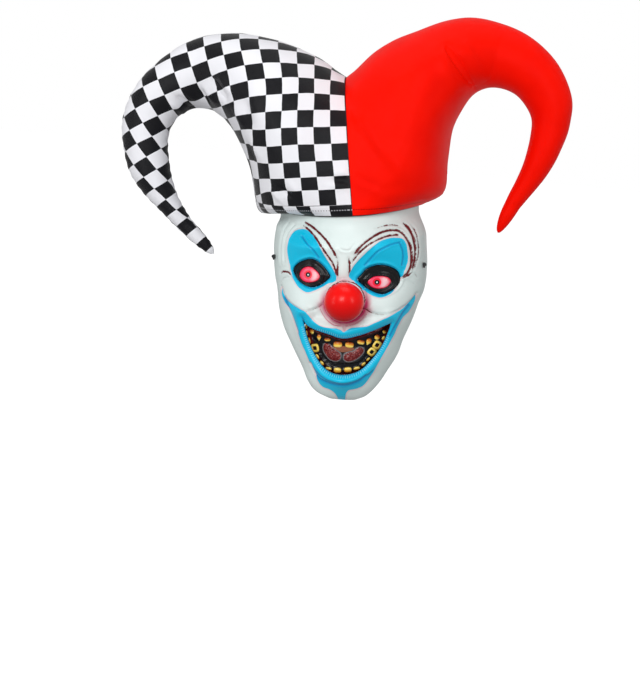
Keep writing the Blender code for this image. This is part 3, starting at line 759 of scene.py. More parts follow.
@dataclass(frozen=True)
class BraidFinish:
    """Black braided elastic and woven binding."""

    name: str = "black_braid"
    scale: float = 1500.0

    def material(self) -> bpy.types.Material:
        """The finish as a material."""
        graph = Graph(self.name)
        turn = {"wave_type": "BANDS", "bands_direction": "DIAGONAL"}
        sockets = {"Vector": graph.place(), "Scale": self.scale / 4, "Distortion": 2.0, "Detail": 2.0}
        braid = Value(graph, graph.node("ShaderNodeTexWave", turn, sockets).outputs["Fac"])
        fuzz = graph.speckle(self.scale, 3, 0.7)
        colour = graph.blend(braid * 0.6 + fuzz * 0.3, (0.008, 0.008, 0.009), (0.035, 0.035, 0.038))
        graph.bump(braid + fuzz * 0.6, 0.0003, 0.8)
        return graph.paint(Base_Color=colour, Roughness=0.62 + fuzz * 0.2, Sheen_Weight=0.2)


# Face


@dataclass
class FaceForm:
    """The face's plain form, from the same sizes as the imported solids."""

    half: float = 0.086
    drop: float = 0.2145
    reach: float = 0.103
    tuck: float = 0.016
    top_rows: int = 8
    lean_share: float = 0.23
    section_round: float = 2.15
    relief: float = 0.010
    relief_fade: float = 0.5
    tilt: float = math.radians(8.0)
    hat_shift: float = -0.003
    # The hat's hem, and how the shell is drawn in under it; its left side has a shorter draw
    hem_clear: float = 0.003
    hem_ease: float = 0.009
    hem_draw: float = 0.030
    left_draw: float = 0.013
    side_until: float = 0.35
    side_blend: float = 0.5
    draw_lead: float = 0.1
    hem_left: float = 0.0885
    hem_right: float = 0.078
    hem_depth: float = 0.101
    hem_dip: float = 0.010
    hem_side_dip: float = 0.003
    hem_room: float = 0.0050
    nose_radius: float = 0.0215
    nose_side: float = 0.0035
    nose_drop: float = 0.1025
    nose_seat: float = 0.104
    seat_share: float = 0.86
    seat_blend: float = 0.34
    mouth_side: float = 0.007
    mouth_drop: float = 0.124
    mouth_half: float = 0.0485
    mouth_height: float = 0.060
    lip_width: float = 0.013
    lip_raise: float = 0.75
    # Height; left and right half width; reach of the front and of the rim, as shares of the sizes
    sections: tuple = (
        (0.075, 0.96, 0.89, 0.925, 0.06),
        (0.000, 0.99, 0.92, 0.945, 0.07),
        (-0.075, 1.01, 0.93, 0.975, 0.10),
        (-0.160, 1.020, 0.955, 1.000, 0.11),
        (-0.270, 1.015, 1.00, 0.995, 0.12),
        (-0.390, 0.975, 1.00, 0.970, 0.13),
        (-0.480, 0.915, 0.94, 0.965, 0.15),
        (-0.575, 0.865, 0.88, 0.955, 0.18),
        (-0.665, 0.780, 0.80, 0.950, 0.23),
        (-0.760, 0.640, 0.735, 0.930, 0.29),
        (-0.855, 0.485, 0.615, 0.900, 0.37),
        (-0.925, 0.385, 0.515, 0.855, 0.44),
        (-0.975, 0.270, 0.400, 0.780, 0.48),
        (-1.000, 0.110, 0.280, 0.690, 0.50),
    )
    # Middle's side and height, half widths across and up, and raise, as shares
    bumps: tuple = (
        (-0.44, -0.205, 0.34, 0.060, 0.45),
        (0.44, -0.190, 0.34, 0.060, 0.45),
        (-0.45, -0.355, 0.26, 0.075, -0.62),
        (0.44, -0.355, 0.26, 0.075, -0.62),
        (-0.02, -0.340, 0.09, 0.110, 0.35),
        (-0.60, -0.520, 0.25, 0.085, 0.80),
        (0.62, -0.500, 0.25, 0.085, 0.80),
        (-0.30, -0.500, 0.13, 0.070, 0.30),
        (0.38, -0.500, 0.13, 0.070, 0.30),
        (0.06, -0.575, 0.22, 0.055, 0.35),
        (0.13, -0.900, 0.22, 0.060, 0.70),
        (-0.62, -0.660, 0.08, 0.090, -0.35),
        (0.76, -0.650, 0.08, 0.090, -0.35),
    )
    mouth_upper: tuple = (
        (-1.01, 0.03), (-0.91, 0.15), (-0.72, 0.22), (-0.37, 0.28), (-0.04, 0.33), (0.31, 0.25),
        (0.64, 0.13), (0.99, -0.02),
    )
    mouth_lower: tuple = (
        (-1.01, 0.03), (-0.87, 0.37), (-0.66, 0.68), (-0.37, 0.93), (0.00, 1.00), (0.39, 0.90),
        (0.68, 0.63), (0.85, 0.38), (0.95, 0.12), (0.99, -0.02),
    )

    def section(self, z: Array) -> tuple[Array, ...]:
        """The shell's section at heights.

        Args:
            z: The heights.

        Returns:
            Left and right half width, reach of the front and reach of the rim.
        """
        dense = smooth_rows(self.sections, np.linspace(0, 1, 160))
        scale = (self.drop, self.half, self.half, self.reach, self.reach)
        columns = (dense * scale)[::-1].T
        return tuple(np.interp(z, columns[0], column) for column in columns[1:])

    def profile(self, x: Array, z: Array) -> Array:
        """0 at the side rims to 1 in the middle."""
        across = np.clip(np.abs(x) / np.where(x < 0, *self.section(z)[:2]), 0, 1)
        return (1 - across**self.section_round) ** (1 / self.section_round)

    def base_reach(self, x: Array, z: Array) -> Array:
        """Reach forward of the plain face, without its relief."""
        front, rim = self.section(z)[2:]
        return rim + (front - rim) * self.profile(x, z)

    def mouth_lines(self, margin: float = 0.0, steps: int = 60) -> tuple[Array, Array]:
        """The mouth's upper and lower edge, moved out by a margin.

        Args:
            margin: How far they move out, in metres.
            steps: Their steps.

        Returns:
            The two lines, both from the left corner to the right.
        """
        lines = []
        for table, outward in ((self.mouth_upper, 1), (self.mouth_lower, -1)):
            edge = np.array(table) * (self.mouth_half, -self.mouth_height)
            line = smooth_rows(edge + (self.mouth_side, -self.mouth_drop), np.linspace(0, 1, steps + 1))
            along = np.gradient(line, axis=0)
            along /= np.linalg.norm(along, axis=1)[:, None]
            lines.append(line + np.stack((-along[:, 1], along[:, 0]), -1) * outward * margin)
        return lines[0], lines[1]

    def mouth_loop(self) -> Array:
        """The mouth's edge as one closed loop."""
        upper, lower = self.mouth_lines()
        return np.concatenate((upper[:-1], lower[:0:-1]))

    def raised(self, x: Array, z: Array) -> Array:
        """Raise of brows, cheeks, lips and chin.

        Args:
            x: Sides.
            z: Heights.

        Returns:
            The raise, in metres.
        """
        total = np.zeros(x.shape)
        for side, height, radius_side, radius_height, raised in self.bumps:
            dx = (x - side * self.half) / (radius_side * self.half)
            dz = (z - height * self.drop) / (radius_height * self.drop)
            total = total + raised * self.relief * np.exp(-dx * dx - dz * dz)
        lip = (loop_distance(x, z, self.mouth_loop()) - self.lip_width / 2) / (self.lip_width / 2)
        return total + self.lip_raise * self.relief * mound(lip)

    def face_reach(self, x: Array, z: Array) -> Array:
        """Reach forward of the finished face, with its flat seat for the nose.

        Args:
            x: Sides.
            z: Heights.

        Returns:
            The reach, in metres.
        """
        fade = smooth_step(self.profile(x, z) / self.relief_fade)
        reach = self.base_reach(x, z) + self.raised(x, z) * fade
        from_nose = np.hypot(x - self.nose_side, z + self.nose_drop) / self.nose_radius
        seat = 1 - smooth_step((from_nose - self.seat_share) / self.seat_blend)
        return reach + (self.nose_seat - reach) * seat

    def hem_height(self, forward: Array) -> Array:
        """Height of the hat's hem in the hat's frame, at a share of the way to its front or back."""
        return -self.hem_side_dip - (self.hem_dip - self.hem_side_dip) * forward * forward

    def under_hem(self, points: Array) -> Array:
        """Draws the shell in where it passes up inside the hat's band.

        Args:
            points: The shell's points.

        Returns:
            The drawn points.
        """
        across = np.array((math.cos(self.tilt), 0.0, math.sin(self.tilt)))
        upward = np.array((-math.sin(self.tilt), 0.0, math.cos(self.tilt)))
        centre = np.array((self.hat_shift, 0.0, 0.0))
        side = (points - centre) @ across
        height = (points - centre) @ upward
        half = np.where(side < 0, self.hem_left, self.hem_right) - self.hem_room
        deep = self.hem_depth - self.hem_room
        spread = np.hypot(side / half, points[..., 1] / deep)
        forward = np.abs(points[..., 1]) / deep / np.maximum(spread, 1e-6)
        above = height - self.hem_height(forward)
        at_side = np.where(side < 0, self.left_draw, self.hem_draw)
        turned = smooth_step((forward - self.side_until) / self.side_blend)
        draw = at_side + (self.hem_draw - at_side) * turned
        tuck = smooth_step((above + self.hem_clear + draw) / draw + self.draw_lead)
        share = np.where(spread > 1, 1 - (1 - 1 / np.maximum(spread, 1)) * tuck, 1.0)
        drawn = points + (side * (share - 1))[..., None] * across
        drawn[..., 1] = points[..., 1] * share
        return drawn

    def skin(self, columns: int, rows: int) -> Array:
        """The shell's outer side as a grid, from its top edge to the chin.

        Args:
            columns: Points across.
            rows: Points down.

        Returns:
            The grid, rows by columns by three.
        """
        turn = np.linspace(-math.pi / 2, math.pi / 2, columns)
        across = np.sign(turn) * np.abs(np.sin(turn)) ** (2 / self.section_round)
        top = np.linspace(-self.tuck, self.hem_clear, self.top_rows)
        below = np.linspace(self.hem_clear + MM, self.drop, rows - self.top_rows)
        z = -np.concatenate((top, below))[:, None] + 0 * across
        left, right = self.section(z)[:2]
        x = across * np.where(across < 0, left, right)
        lean = 1 - smooth_step((-z - self.hem_clear - self.hem_ease) / self.drop / self.lean_share)
        y = -self.face_reach(x, z)
        z = z + lean * (x * math.tan(self.tilt) + self.hem_height(np.cos(turn)))
        return self.under_hem(np.stack((x, y, z), -1))

    def wall_side(self, side: int, drop: float, back: float) -> float:
        """Half width of the shell's outer side.

        Args:
            side: -1 for the left and 1 for the right.
            drop: How far down, in metres.
            back: Its reach forward there.

        Returns:
            The half width.
        """
        left, right, front, rim = (float(value) for value in self.section(np.array(-drop)))
        profile = max((back - rim) / (front - rim), 0.0)
        across = (1 - profile**self.section_round) ** (1 / self.section_round)
        return across * (left if side < 0 else right)


@dataclass
class EyeForm:
    """One eye's outlines in the front view, in millimetres."""

    word: str
    lid: tuple
    ball: tuple
    pupil: tuple
    patch: tuple
    creases: tuple


LEFT_EYE = EyeForm(
    word="left",
    lid=((-58, -77), (-56, -71), (-49, -65), (-40, -61.5), (-33, -62), (-26, -66), (-19.5, -72),
         (-15.5, -78), (-19, -83), (-25, -88.5), (-33, -92), (-40, -92), (-48, -89), (-54, -84)),
    ball=((-50.3, -80), (-48.5, -74.5), (-44, -71), (-38, -70.3), (-32.5, -73), (-28, -77), (-27.3, -81),
          (-31, -85), (-38, -87.2), (-44, -87), (-48.5, -84.3)),
    pupil=(-40.5, -79.0),
    patch=((-59, -32.5), (-51, -30.5), (-43, -32.5), (-35, -40), (-28, -49), (-21, -59), (-14, -68),
           (-9, -76), (-8.5, -81), (-12, -84), (-17, -86), (-22, -90), (-27, -93), (-33, -96), (-39, -98),
           (-45, -96.5), (-51, -93), (-56, -87), (-59, -80), (-61.5, -74), (-65, -65), (-67, -56),
           (-67, -48), (-65.5, -41), (-63, -36)),
    creases=(((-52, -38), (-44.5, -45), (-36.5, -52), (-30, -59.5)),),
)

RIGHT_EYE = EyeForm(
    word="right",
    lid=((14, -78), (18, -72), (23, -65.5), (32, -61), (41, -60), (50, -62), (56.5, -66), (59.5, -72),
         (59.5, -78), (56, -84), (50, -89), (43, -92), (35, -91), (25, -87), (19, -83)),
    ball=((25.4, -80), (28, -76), (33, -73.2), (41, -72.4), (47, -73.5), (50.3, -77), (49, -81),
          (45, -84.5), (37.5, -86.3), (31, -85.3), (27, -82.7)),
    pupil=(35.5, -79.4),
    patch=((5, -75.5), (6.5, -69), (10, -62), (16, -54), (24, -44.5), (34, -35), (44, -30.5), (53, -29.5),
           (58.5, -30.5), (62, -35), (64.5, -43), (66, -52), (65, -60), (62, -69), (59, -76), (57, -81),
           (55, -86), (51, -91), (44, -95), (37, -95.5), (29, -93), (21, -89), (14, -83.5), (9, -79.5)),
    creases=(((21, -62), (27, -54), (33.5, -46), (41.5, -40), (50, -35.5), (56, -34)),
             ((56, -34), (60, -42), (61.5, -50), (61, -59))),
)


@dataclass
class FaceArt:
    """The painted outlines and engraved lines of the face, in millimetres of the front view."""

    lips: tuple = (
        (-71, -98), (-69, -104), (-63, -110), (-55, -114.3), (-46, -116.5), (-39, -118.7), (-34, -123),
        (-28, -128.5), (-20, -132.5), (-11, -133.3), (-3, -133), (3, -134.6), (5.5, -136.2), (8, -134.4),
        (13, -131), (21, -129.4), (30, -127.6), (38, -123.2), (48, -117.8), (56, -113.2), (64.5, -108),
        (71, -102), (77, -93.5), (78.6, -92.5), (76.5, -101), (72.5, -110), (67, -116.5), (63, -125),
        (59.5, -135.6), (55, -146.5), (50.3, -157.3), (45.5, -168), (40.7, -179), (35.7, -188.4),
        (30.6, -195.4), (24, -198.6), (17, -200.6), (14.2, -203.5), (13, -208), (12.6, -214), (12.4, -220),
        (4.6, -220), (4.4, -213), (2.4, -208.2), (-1, -204.4), (-6, -202), (-11.8, -200.9), (-16.3, -197.8),
        (-19.4, -193.5), (-22.5, -187), (-28, -177.4), (-34, -166.2), (-39.7, -156.4), (-45.2, -145),
        (-50.6, -134), (-57, -121.5), (-64.5, -113.2), (-69.5, -106.5),
    )
    # Each line is its half width, its strength of paint, its depth, then its points
    lines: tuple = (
        (0.80, 1.0, 1.1, ((-51, -22.5), (-45, -25), (-39, -28), (-30, -34), (-21.5, -41), (-15, -49),
                          (-10, -57))),
        (0.75, 0.9, 0.9, ((-52, -26.5), (-44, -31), (-35.5, -38), (-28, -46), (-21.5, -54), (-14, -63),
                          (-10, -71), (-8, -77))),
        (0.65, 0.85, 0.9, ((-9.5, -57), (-8.3, -64), (-7.6, -71), (-7, -79))),
        (0.65, 0.85, 0.9, ((3, -55), (4.5, -62), (5, -68), (5, -75))),
        (0.80, 1.0, 1.1, ((8, -52), (14, -42.5), (24, -32.5), (33, -26), (43, -22), (52, -22), (59, -26),
                          (64.5, -33), (68, -42), (69.5, -52), (69, -61), (66, -68), (60, -72.5))),
        (0.70, 0.85, 0.9, ((6.5, -61), (12, -51), (20, -42), (30, -34), (41, -28.5), (50, -26.5),
                          (56, -27))),
        (0.60, 0.55, 0.5, ((28, -21.5), (36, -18), (46, -16), (54, -17))),
        (0.80, 1.0, 1.0, ((57, -13.5), (64, -20.5), (69, -29), (72, -41), (72.5, -53), (71, -64))),
        (0.60, 0.65, 0.6, ((66, -15.5), (72, -25), (75.5, -39), (75.5, -51), (73, -64))),
        (0.70, 0.9, 0.9, ((60.5, -74), (67, -70), (72, -66))),
        (0.55, 0.8, 0.6, ((74, -67), (78, -72))),
        (0.50, 0.6, 0.5, ((70, -76), (75, -79))),
        (0.65, 0.85, 0.8, ((-73, -83), (-70, -80), (-63, -80), (-58.5, -84))),
        (0.50, 0.45, 0.7, ((-73.5, -94), (-69, -87), (-60, -84.5))),
        (0.50, 0.55, 0.5, ((-71.5, -75), (-70, -70))),
        (0.45, 0.35, 0.6, ((-66.5, -40), (-61, -32), (-54, -28.5), (-46, -29))),
        (0.45, 0.24, 0.9, ((-69, -24), (-74, -34), (-76, -48), (-75.5, -62), (-73, -73))),
        (0.45, 0.24, 0.9, ((-62, -26), (-68.5, -36), (-71, -48), (-71, -60), (-69, -70))),
        (0.50, 0.55, 0.6, ((-76, -66), (-74.5, -72))),
        (0.45, 0.22, 0.6, ((-9, -44), (-5, -47), (2, -47.3), (6, -43), (8.5, -38))),
        (0.7, 0.40, 0.2, ((-24.5, -28), (-20.5, -32.5))),
    )
    cheeks: tuple = (
        (1.3, 0.45, 2.2, ((-71, -97), (-67, -105.5), (-59, -112.5), (-48, -116.5), (-36, -117.5),
                          (-25, -112.5), (-19, -107))),
        (1.3, 0.45, 2.2, ((25, -108.5), (34, -113), (45, -113.3), (57, -110.8), (67, -104.5), (75, -97),
                          (79, -90))),
    )
    # Each fold is its half width and its depth, then its points
    folds: tuple = (
        (1.4, 1.7, ((-29, -176), (-23, -186), (-15, -192.5), (-2, -195.3), (13, -195), (25, -190.5),
                    (34, -183))),
        (1.1, 0.9, ((-66, -108), (-60, -117), (-53, -130), (-46, -143))),
        (0.9, 0.8, ((72, -103), (66, -112), (60, -125), (55, -138))),
    )
    philtrum: tuple = (((1.5, -124.5), (4, -130), (5.5, -134)), ((8.5, -124.5), (7.2, -130), (6.2, -134)))


class FaceLayers:
    """What the art adds to the plain face: its engraving, and the numbers that the paint reads."""

    LINE_END = 6.0
    LOWER_LIP = 0.012
    HEM_FADE = 0.006
    DEEPEST = -1.4

    def __init__(self, form: FaceForm, points: Array) -> None:
        """Starts with nothing added. The raise and all distances are in millimetres.

        Args:
            form: The face's form.
            points: The plain outer side, as a grid.
        """
        self.form = form
        self.points = points
        self.x, self.z = points[..., 0], points[..., 2]
        self.raised = np.zeros(self.x.shape)
        self.blue = np.full(self.x.shape, math.inf)
        # deep and shade are painted shade, deep on the blue and shade on the white
        self.layers = {name: np.zeros(self.x.shape) for name in ("line", "blush", "deep", "shade")}
        self.broken = 0.75 + 0.35 * lumps(points, 0.006, 3.0)
        self.nose_x = (self.x - form.nose_side) / MM
        self.nose_z = (self.z + form.nose_drop) / MM
        self.from_nose = np.hypot(self.nose_x, self.nose_z) - form.nose_radius / MM

    def mark(self, name: str, values: Array) -> None:
        """Lifts a layer of paint to new values where they are larger."""
        self.layers[name] = np.maximum(self.layers[name], values)

    def from_line(self, table: Points) -> tuple[Array, Array]:
        """Distance to a line of the art, and the length along it."""
        off, along = line_distance(self.x, self.z, open_line(table))
        return off / MM, along / MM

    def from_loop(self, loop: Array) -> Array:
        """Distance to a closed loop, below zero inside it."""
        return loop_distance(self.x, self.z, loop) / MM

    def draw_lines(self, lines: tuple) -> None:
        """Engraves and paints the dark lines, which thin out at their ends, with painted shade beside them.
        """
        for width, strength, depth, table in lines:
            off, along = self.from_line(table)
            taper = smooth_step(along / self.LINE_END) * smooth_step((along.max() - along) / self.LINE_END)
            stroke = ridge(off, 1.6 * width) ** 0.8
            self.mark("line", strength * (0.45 + 0.55 * taper) * stroke * self.broken)
            self.mark("shade", ridge(off, 3.2, 0.30 * strength))
            cut = ridge(off, 1.2, 0.6, at=2.4) - ridge(off, width, 1.2)
            self.raised += depth * (0.4 + 0.6 * taper) * cut

    def press_cheeks(self, cheeks: tuple) -> None:
        """Presses the cheek creases in, with painted shade along them and dark lines that are darker near
        the nose.
        """
        near = mound(np.maximum(self.from_nose - 2.5, 0) / 14)
        for width, strength, depth, table in cheeks:
            off = self.from_line(table)[0]
            self.mark("shade", ridge(off, 2.2, strength))
            self.mark("line", (0.34 + 0.42 * near) * ridge(off, 0.8) * self.broken)
            self.raised -= ridge(off, width, depth)

    def press_folds(self, folds: tuple) -> None:
        """Presses the folds round the mouth and chin in, with painted shade in them."""
        for width, depth, table in folds:
            off = self.from_line(table)[0]
            self.mark("deep", ridge(off, 1.3 * width, 0.75))
            self.raised -= ridge(off, width, depth)

    def set_eye(self, eye: EyeForm) -> None:
        """Sinks an eye's blue patch, with a rim round its lid and the brow's creases, and painted shade
        along the lid's edge and in the creases.
        """
        patch = self.from_loop(round_loop(eye.patch))
        self.blue = np.minimum(self.blue, patch)
        self.raised -= 0.7 * smooth_step(-patch / 1.2)
        lid = self.from_loop(round_loop(eye.lid))
        self.raised += ridge(lid, 1.5, 1.1, at=2.4) - ridge(lid, 1.1, at=0.2)
        self.mark("deep", ridge(np.maximum(lid, 0), 1.0, 0.55))
        for table in eye.creases:
            off = self.from_line(table)[0]
            self.raised += ridge(off, 1.2, 0.5, at=1.9) - ridge(off, 1.0)
            self.mark("deep", ridge(off, 1.0, 0.62))

    def rib_lips(self, lips: Array) -> None:
        """Ribs the blue lips, and presses a line in round the lower one, with painted shade in that line
        and just round the mouth's edge.
        """
        mouth = self.form.mouth_loop()
        from_mouth = self.from_loop(mouth)
        from_lips = self.from_loop(lips)
        self.blue = np.minimum(self.blue, from_lips)
        lower = self.z < -self.form.mouth_drop - self.LOWER_LIP
        ribbed = ridge(from_mouth, 1.7, at=2.0) * smooth_step(-from_lips)
        self.layers["ribbed"] = ribbed * np.where(lower, 1, 0.25)
        run = line_distance(self.x, self.z, np.concatenate((mouth, mouth[:1])))[1]
        self.layers["lip_run"] = run / MM
        outer = ridge(from_mouth, 1.0, at=9.6) * lower * smooth_step(-(from_lips + 0.4))
        self.raised -= outer
        self.mark("deep", 0.72 * outer)
        self.mark("deep", ridge(np.maximum(from_mouth, 0), 0.9, 0.55))

    def ring_nose(self, philtrum: tuple) -> None:
        """Puts a rim, a blush, thin arcs and a painted shadow line round the nose, and the blush above and
        below it.
        """
        off = self.from_nose
        self.raised += ridge(off, 0.7, 1.1, at=1.5) - ridge(off, 0.5, at=0.2)
        # Painted shadow: a dark line in the gap where the nose meets the shell
        self.mark("line", ridge(off, 0.5, 0.72, at=0.2))
        across = self.nose_x * MM / self.form.nose_radius
        upward = self.nose_z * MM / self.form.nose_radius
        below = smooth_step((across * 0.15 - upward) * 0.6 + 0.75)
        self.mark("blush", (ridge(off, 2.2, at=1.0) + ridge(off, 2.6, 0.6, at=4.4)) * below)
        wide = smooth_step(-self.nose_x / 10)
        for rim, strength in ((3.0, 1.0), (5.6 + 1.6 * wide, 0.95)):
            arc = ridge(off, 0.55, at=rim) * smooth_step((-4 - self.nose_z) / 8)
            self.mark("blush", strength * arc)
            self.raised -= 0.5 * arc
        for side in (-1, 1):
            nostril = np.hypot(self.nose_x - side * 24.5, self.nose_z + 7.5)
            self.mark("blush", ridge(nostril, 5.2, 0.75))
        for table in philtrum:
            near = self.from_line(table)[0]
            self.mark("blush", ridge(near, 1.3, 0.55))
            self.raised -= ridge(near, 1.2, 0.5)
        bridge = ridge(self.x / MM, 9.0, at=-0.5) * ridge(self.z / MM, 3.5, at=-80.5)
        self.mark("blush", 0.55 * bridge)

    def finished(self) -> tuple[Array, dict[str, Array]]:
        """The engraved grid, and the numbers that the paint reads."""
        form = self.form
        profile = form.profile(self.x, self.z)
        # Painted shade, greyer towards the side rims and stopping short of the very edge
        rims = (1 - smooth_step(profile / 0.75)) * smooth_step((profile - 0.10) / 0.16)
        self.mark("shade", 0.8 * rims)
        hem = form.hem_height(np.zeros(())) + self.x * math.tan(form.tilt)
        under = smooth_step((hem - self.z) / self.HEM_FADE)
        raised = self.raised * smooth_step(profile / 0.25) + 0.25 * lumps(self.points, 0.012, 7.0)
        raised = np.maximum(raised * under, self.DEEPEST) * MM
        pink = np.where(self.z > -0.098, 0.8, 1.0)
        dressed = self.points + grid_normals(self.points) * raised[..., None]
        return dressed, {"blue_edge": self.blue, "pink": pink, **self.layers}


@dataclass
class FaceShell:
    """The moulded shell with its painted and engraved face."""

    form: FaceForm
    art: FaceArt
    eyes: Sequence[EyeForm]
    columns: int = 250
    rows: int = 268
    inner_columns: int = 90
    inner_rows: int = 98
    wall: float = 0.002
    edge: float = 0.0035
    edge_turn: float = 0.35
    # What the unpainted inner side has for the distance to the blue, in millimetres
    unpainted: float = 50.0

    def dress(self, points: Array) -> tuple[Array, dict[str, Array]]:
        """Engraves the face and finds what its paint needs.

        Args:
            points: The plain outer side, as a grid.

        Returns:
            The engraved grid, and the numbers that the paint reads.
        """
        layers = FaceLayers(self.form, points)
        layers.draw_lines(self.art.lines)
        layers.press_cheeks(self.art.cheeks)
        layers.press_folds(self.art.folds)
        for eye in self.eyes:
            layers.set_eye(eye)
        layers.rib_lips(round_loop(self.art.lips, 3))
        layers.ring_nose(self.art.philtrum)
        return layers.finished()

    def open_holes(self, points: Array, faces: Array, loops: Sequence[Array]) -> Array:
        """Takes out the faces inside each loop and draws the edges left onto it.

        Args:
            points: The points, changed in place.
            faces: The quads.
            loops: The loops, in the front view.

        Returns:
            The quads that stay.
        """
        for loop in loops:
            middle = points[faces].mean(axis=1)
            gone = inside_loop(middle[:, 0], middle[:, 2], loop)
            kept = faces[~gone]
            rim = np.intersect1d(np.unique(faces[gone]), np.unique(kept))
            closed = np.concatenate((loop, loop[:1]))
            dense = smooth_rows(closed, np.linspace(0, 1, 8 * len(closed)))
            off = np.linalg.norm(points[rim][:, None, (0, 2)] - dense[None], axis=-1)
            nearest = dense[off.argmin(1)]
            points[rim, 0] = nearest[:, 0]
            points[rim, 2] = nearest[:, 1]
            faces = kept
        return faces

    def edge_walls(self, points: Array, faces: Array) -> tuple[Array, Array]:
        """Turns every open edge back.

        Args:
            points: The points.
            faces: The quads.

        Returns:
            The added points and quads.
        """
        edges = open_edges(faces)
        used = np.unique(edges)
        start = len(points)
        near = points[used] + (0, self.edge * self.edge_turn, 0)
        far = points[used] + (0, self.edge, 0)
        a, b = start + np.searchsorted(used, edges).T
        first = np.stack((edges[:, 1], edges[:, 0], a, b), -1)
        second = np.stack((b, a, len(used) + a, len(used) + b), -1)
        return np.concatenate((near, far)), np.concatenate((first, second))

    def build(self) -> None:
        """Makes the shell with its outer side, its edges and its inner side."""
        outer, stored = self.dress(self.form.skin(self.columns, self.rows))
        points = outer.reshape(-1, 3).copy()
        loops = [round_loop(eye.lid) for eye in self.eyes] + [self.form.mouth_loop()]
        faces = self.open_holes(points, grid_faces(self.rows, self.columns), loops)
        edge, walls = self.edge_walls(points, faces)
        plain = self.form.skin(self.inner_columns, self.inner_rows)
        inside = (plain - grid_normals(plain) * self.wall).reshape(-1, 3)
        lining = self.open_holes(inside, grid_faces(self.inner_rows, self.inner_columns), loops)[:, ::-1]
        rim = np.unique(open_edges(faces))
        kept = {}
        for key, values in stored.items():
            flat = values.ravel()
            within = np.full(len(inside), self.unpainted if key == "blue_edge" else 0.0)
            kept[key] = np.concatenate((flat, flat[rim], flat[rim], within))
        everything = np.concatenate((points, edge, inside))
        all_faces = np.concatenate((faces, walls, lining + len(points) + len(edge)))
        obj = make_piece("painted_shell", everything, all_faces, kept, ShellPaint().material())
        settle(obj, "face_plastic", "face_shell")


@dataclass
class Eyes:
    """The dark lids and the painted eyeballs."""

    form: FaceForm
    eyes: Sequence[EyeForm]
    rings: int = 26
    around: int = 96
    innermost: float = 0.004
    lid_sink: float = 0.0022
    lid_dome: float = 0.0034
    lid_curve: float = 0.013
    lid_edge: float = 0.0014
    socket: float = 0.0016
    socket_edge: float = 0.0012
    ball_dome: float = 0.0022
    ball_curve: float = 0.0075
    ball_lift: float = 0.0002
    pupil_sink: float = 0.0003

    def disc(self, table: Points, pupil: Sequence[float]) -> tuple[Array, Array, Array]:
        """Rings from an outline to the pupil.

        Args:
            table: The outline, in millimetres.
            pupil: Where the rings close.

        Returns:
            The rings' sides and heights, and each place's share of the way out.
        """
        loop = round_loop(table)
        even = smooth_rows(np.concatenate((loop, loop[:1])), np.linspace(0, 1, self.around + 1))[:-1]
        share = np.linspace(1.0, self.innermost, self.rings)[:, None]
        centre = np.array(pupil) * MM
        rings = centre + (even - centre) * share[..., None]
        return rings[..., 0], rings[..., 1], np.broadcast_to(share, rings.shape[:2])

    def lid_surface(self, eye: EyeForm, x: Array, z: Array) -> Array:
        """Reach of the dark lid, with its folds round the eyeball.

        Args:
            eye: The eye's outlines.
            x: Sides.
            z: Heights.

        Returns:
            The reach, in metres.
        """
        inward = -loop_distance(x, z, round_loop(eye.lid))
        near = loop_distance(x, z, round_loop(eye.ball)) / MM
        dome = self.lid_dome * np.sqrt(np.clip(inward / self.lid_curve, 0, 1))
        folds = ridge(near, 0.9, at=1.2) + ridge(near, 0.7, 0.9, at=3.6) - ridge(near, 0.8, 0.7, at=5.4)
        return self.form.face_reach(x, z) - self.lid_sink + dome + folds * MM

    def lid(self, eye: EyeForm, finish: bpy.types.Material) -> None:
        """Makes one dark lid, hollowed where its eyeball sits."""
        x, z, _ = self.disc(eye.lid, eye.pupil)
        y = -self.lid_surface(eye, x, z)
        y[0] += self.lid_edge
        inside = -loop_distance(x, z, round_loop(eye.ball))
        y += self.socket * smooth_step(inside / self.socket_edge)
        faces = grid_faces(self.rings, self.around, True)
        obj = make_piece(f"dark_lid_{eye.word}", np.stack((x, y, z), -1), faces, None, finish)
        settle(obj, "black_gloss", f"eye_lid_{eye.word}")

    def ball(self, eye: EyeForm, finish: bpy.types.Material) -> None:
        """Makes one domed eyeball."""
        x, z, rim = self.disc(eye.ball, eye.pupil)
        inward = np.clip(-loop_distance(x, z, round_loop(eye.ball)) / self.ball_curve, 0, 1)
        dome = self.ball_dome * np.sqrt(1 - (1 - inward) ** 2)
        aside = x / MM - eye.pupil[0]
        far = np.hypot(aside, z / MM - eye.pupil[1])
        y = self.ball_lift - self.lid_surface(eye, x, z) - dome + self.pupil_sink * mound(far / 2.0)
        faces = grid_faces(self.rings, self.around, True)
        stored = {"from_pupil": far, "rim": rim, "aside": aside}
        obj = make_piece(f"painted_eye_{eye.word}", np.stack((x, y, z), -1), faces, stored, finish)
        settle(obj, "eye_pink", f"eyeball_{eye.word}")

    def build(self) -> None:
        """Makes each lid and eyeball."""
        black = GlossBlack().material()
        paint = EyePaint().material()
        for eye in self.eyes:
            self.lid(eye, black)
            self.ball(eye, paint)


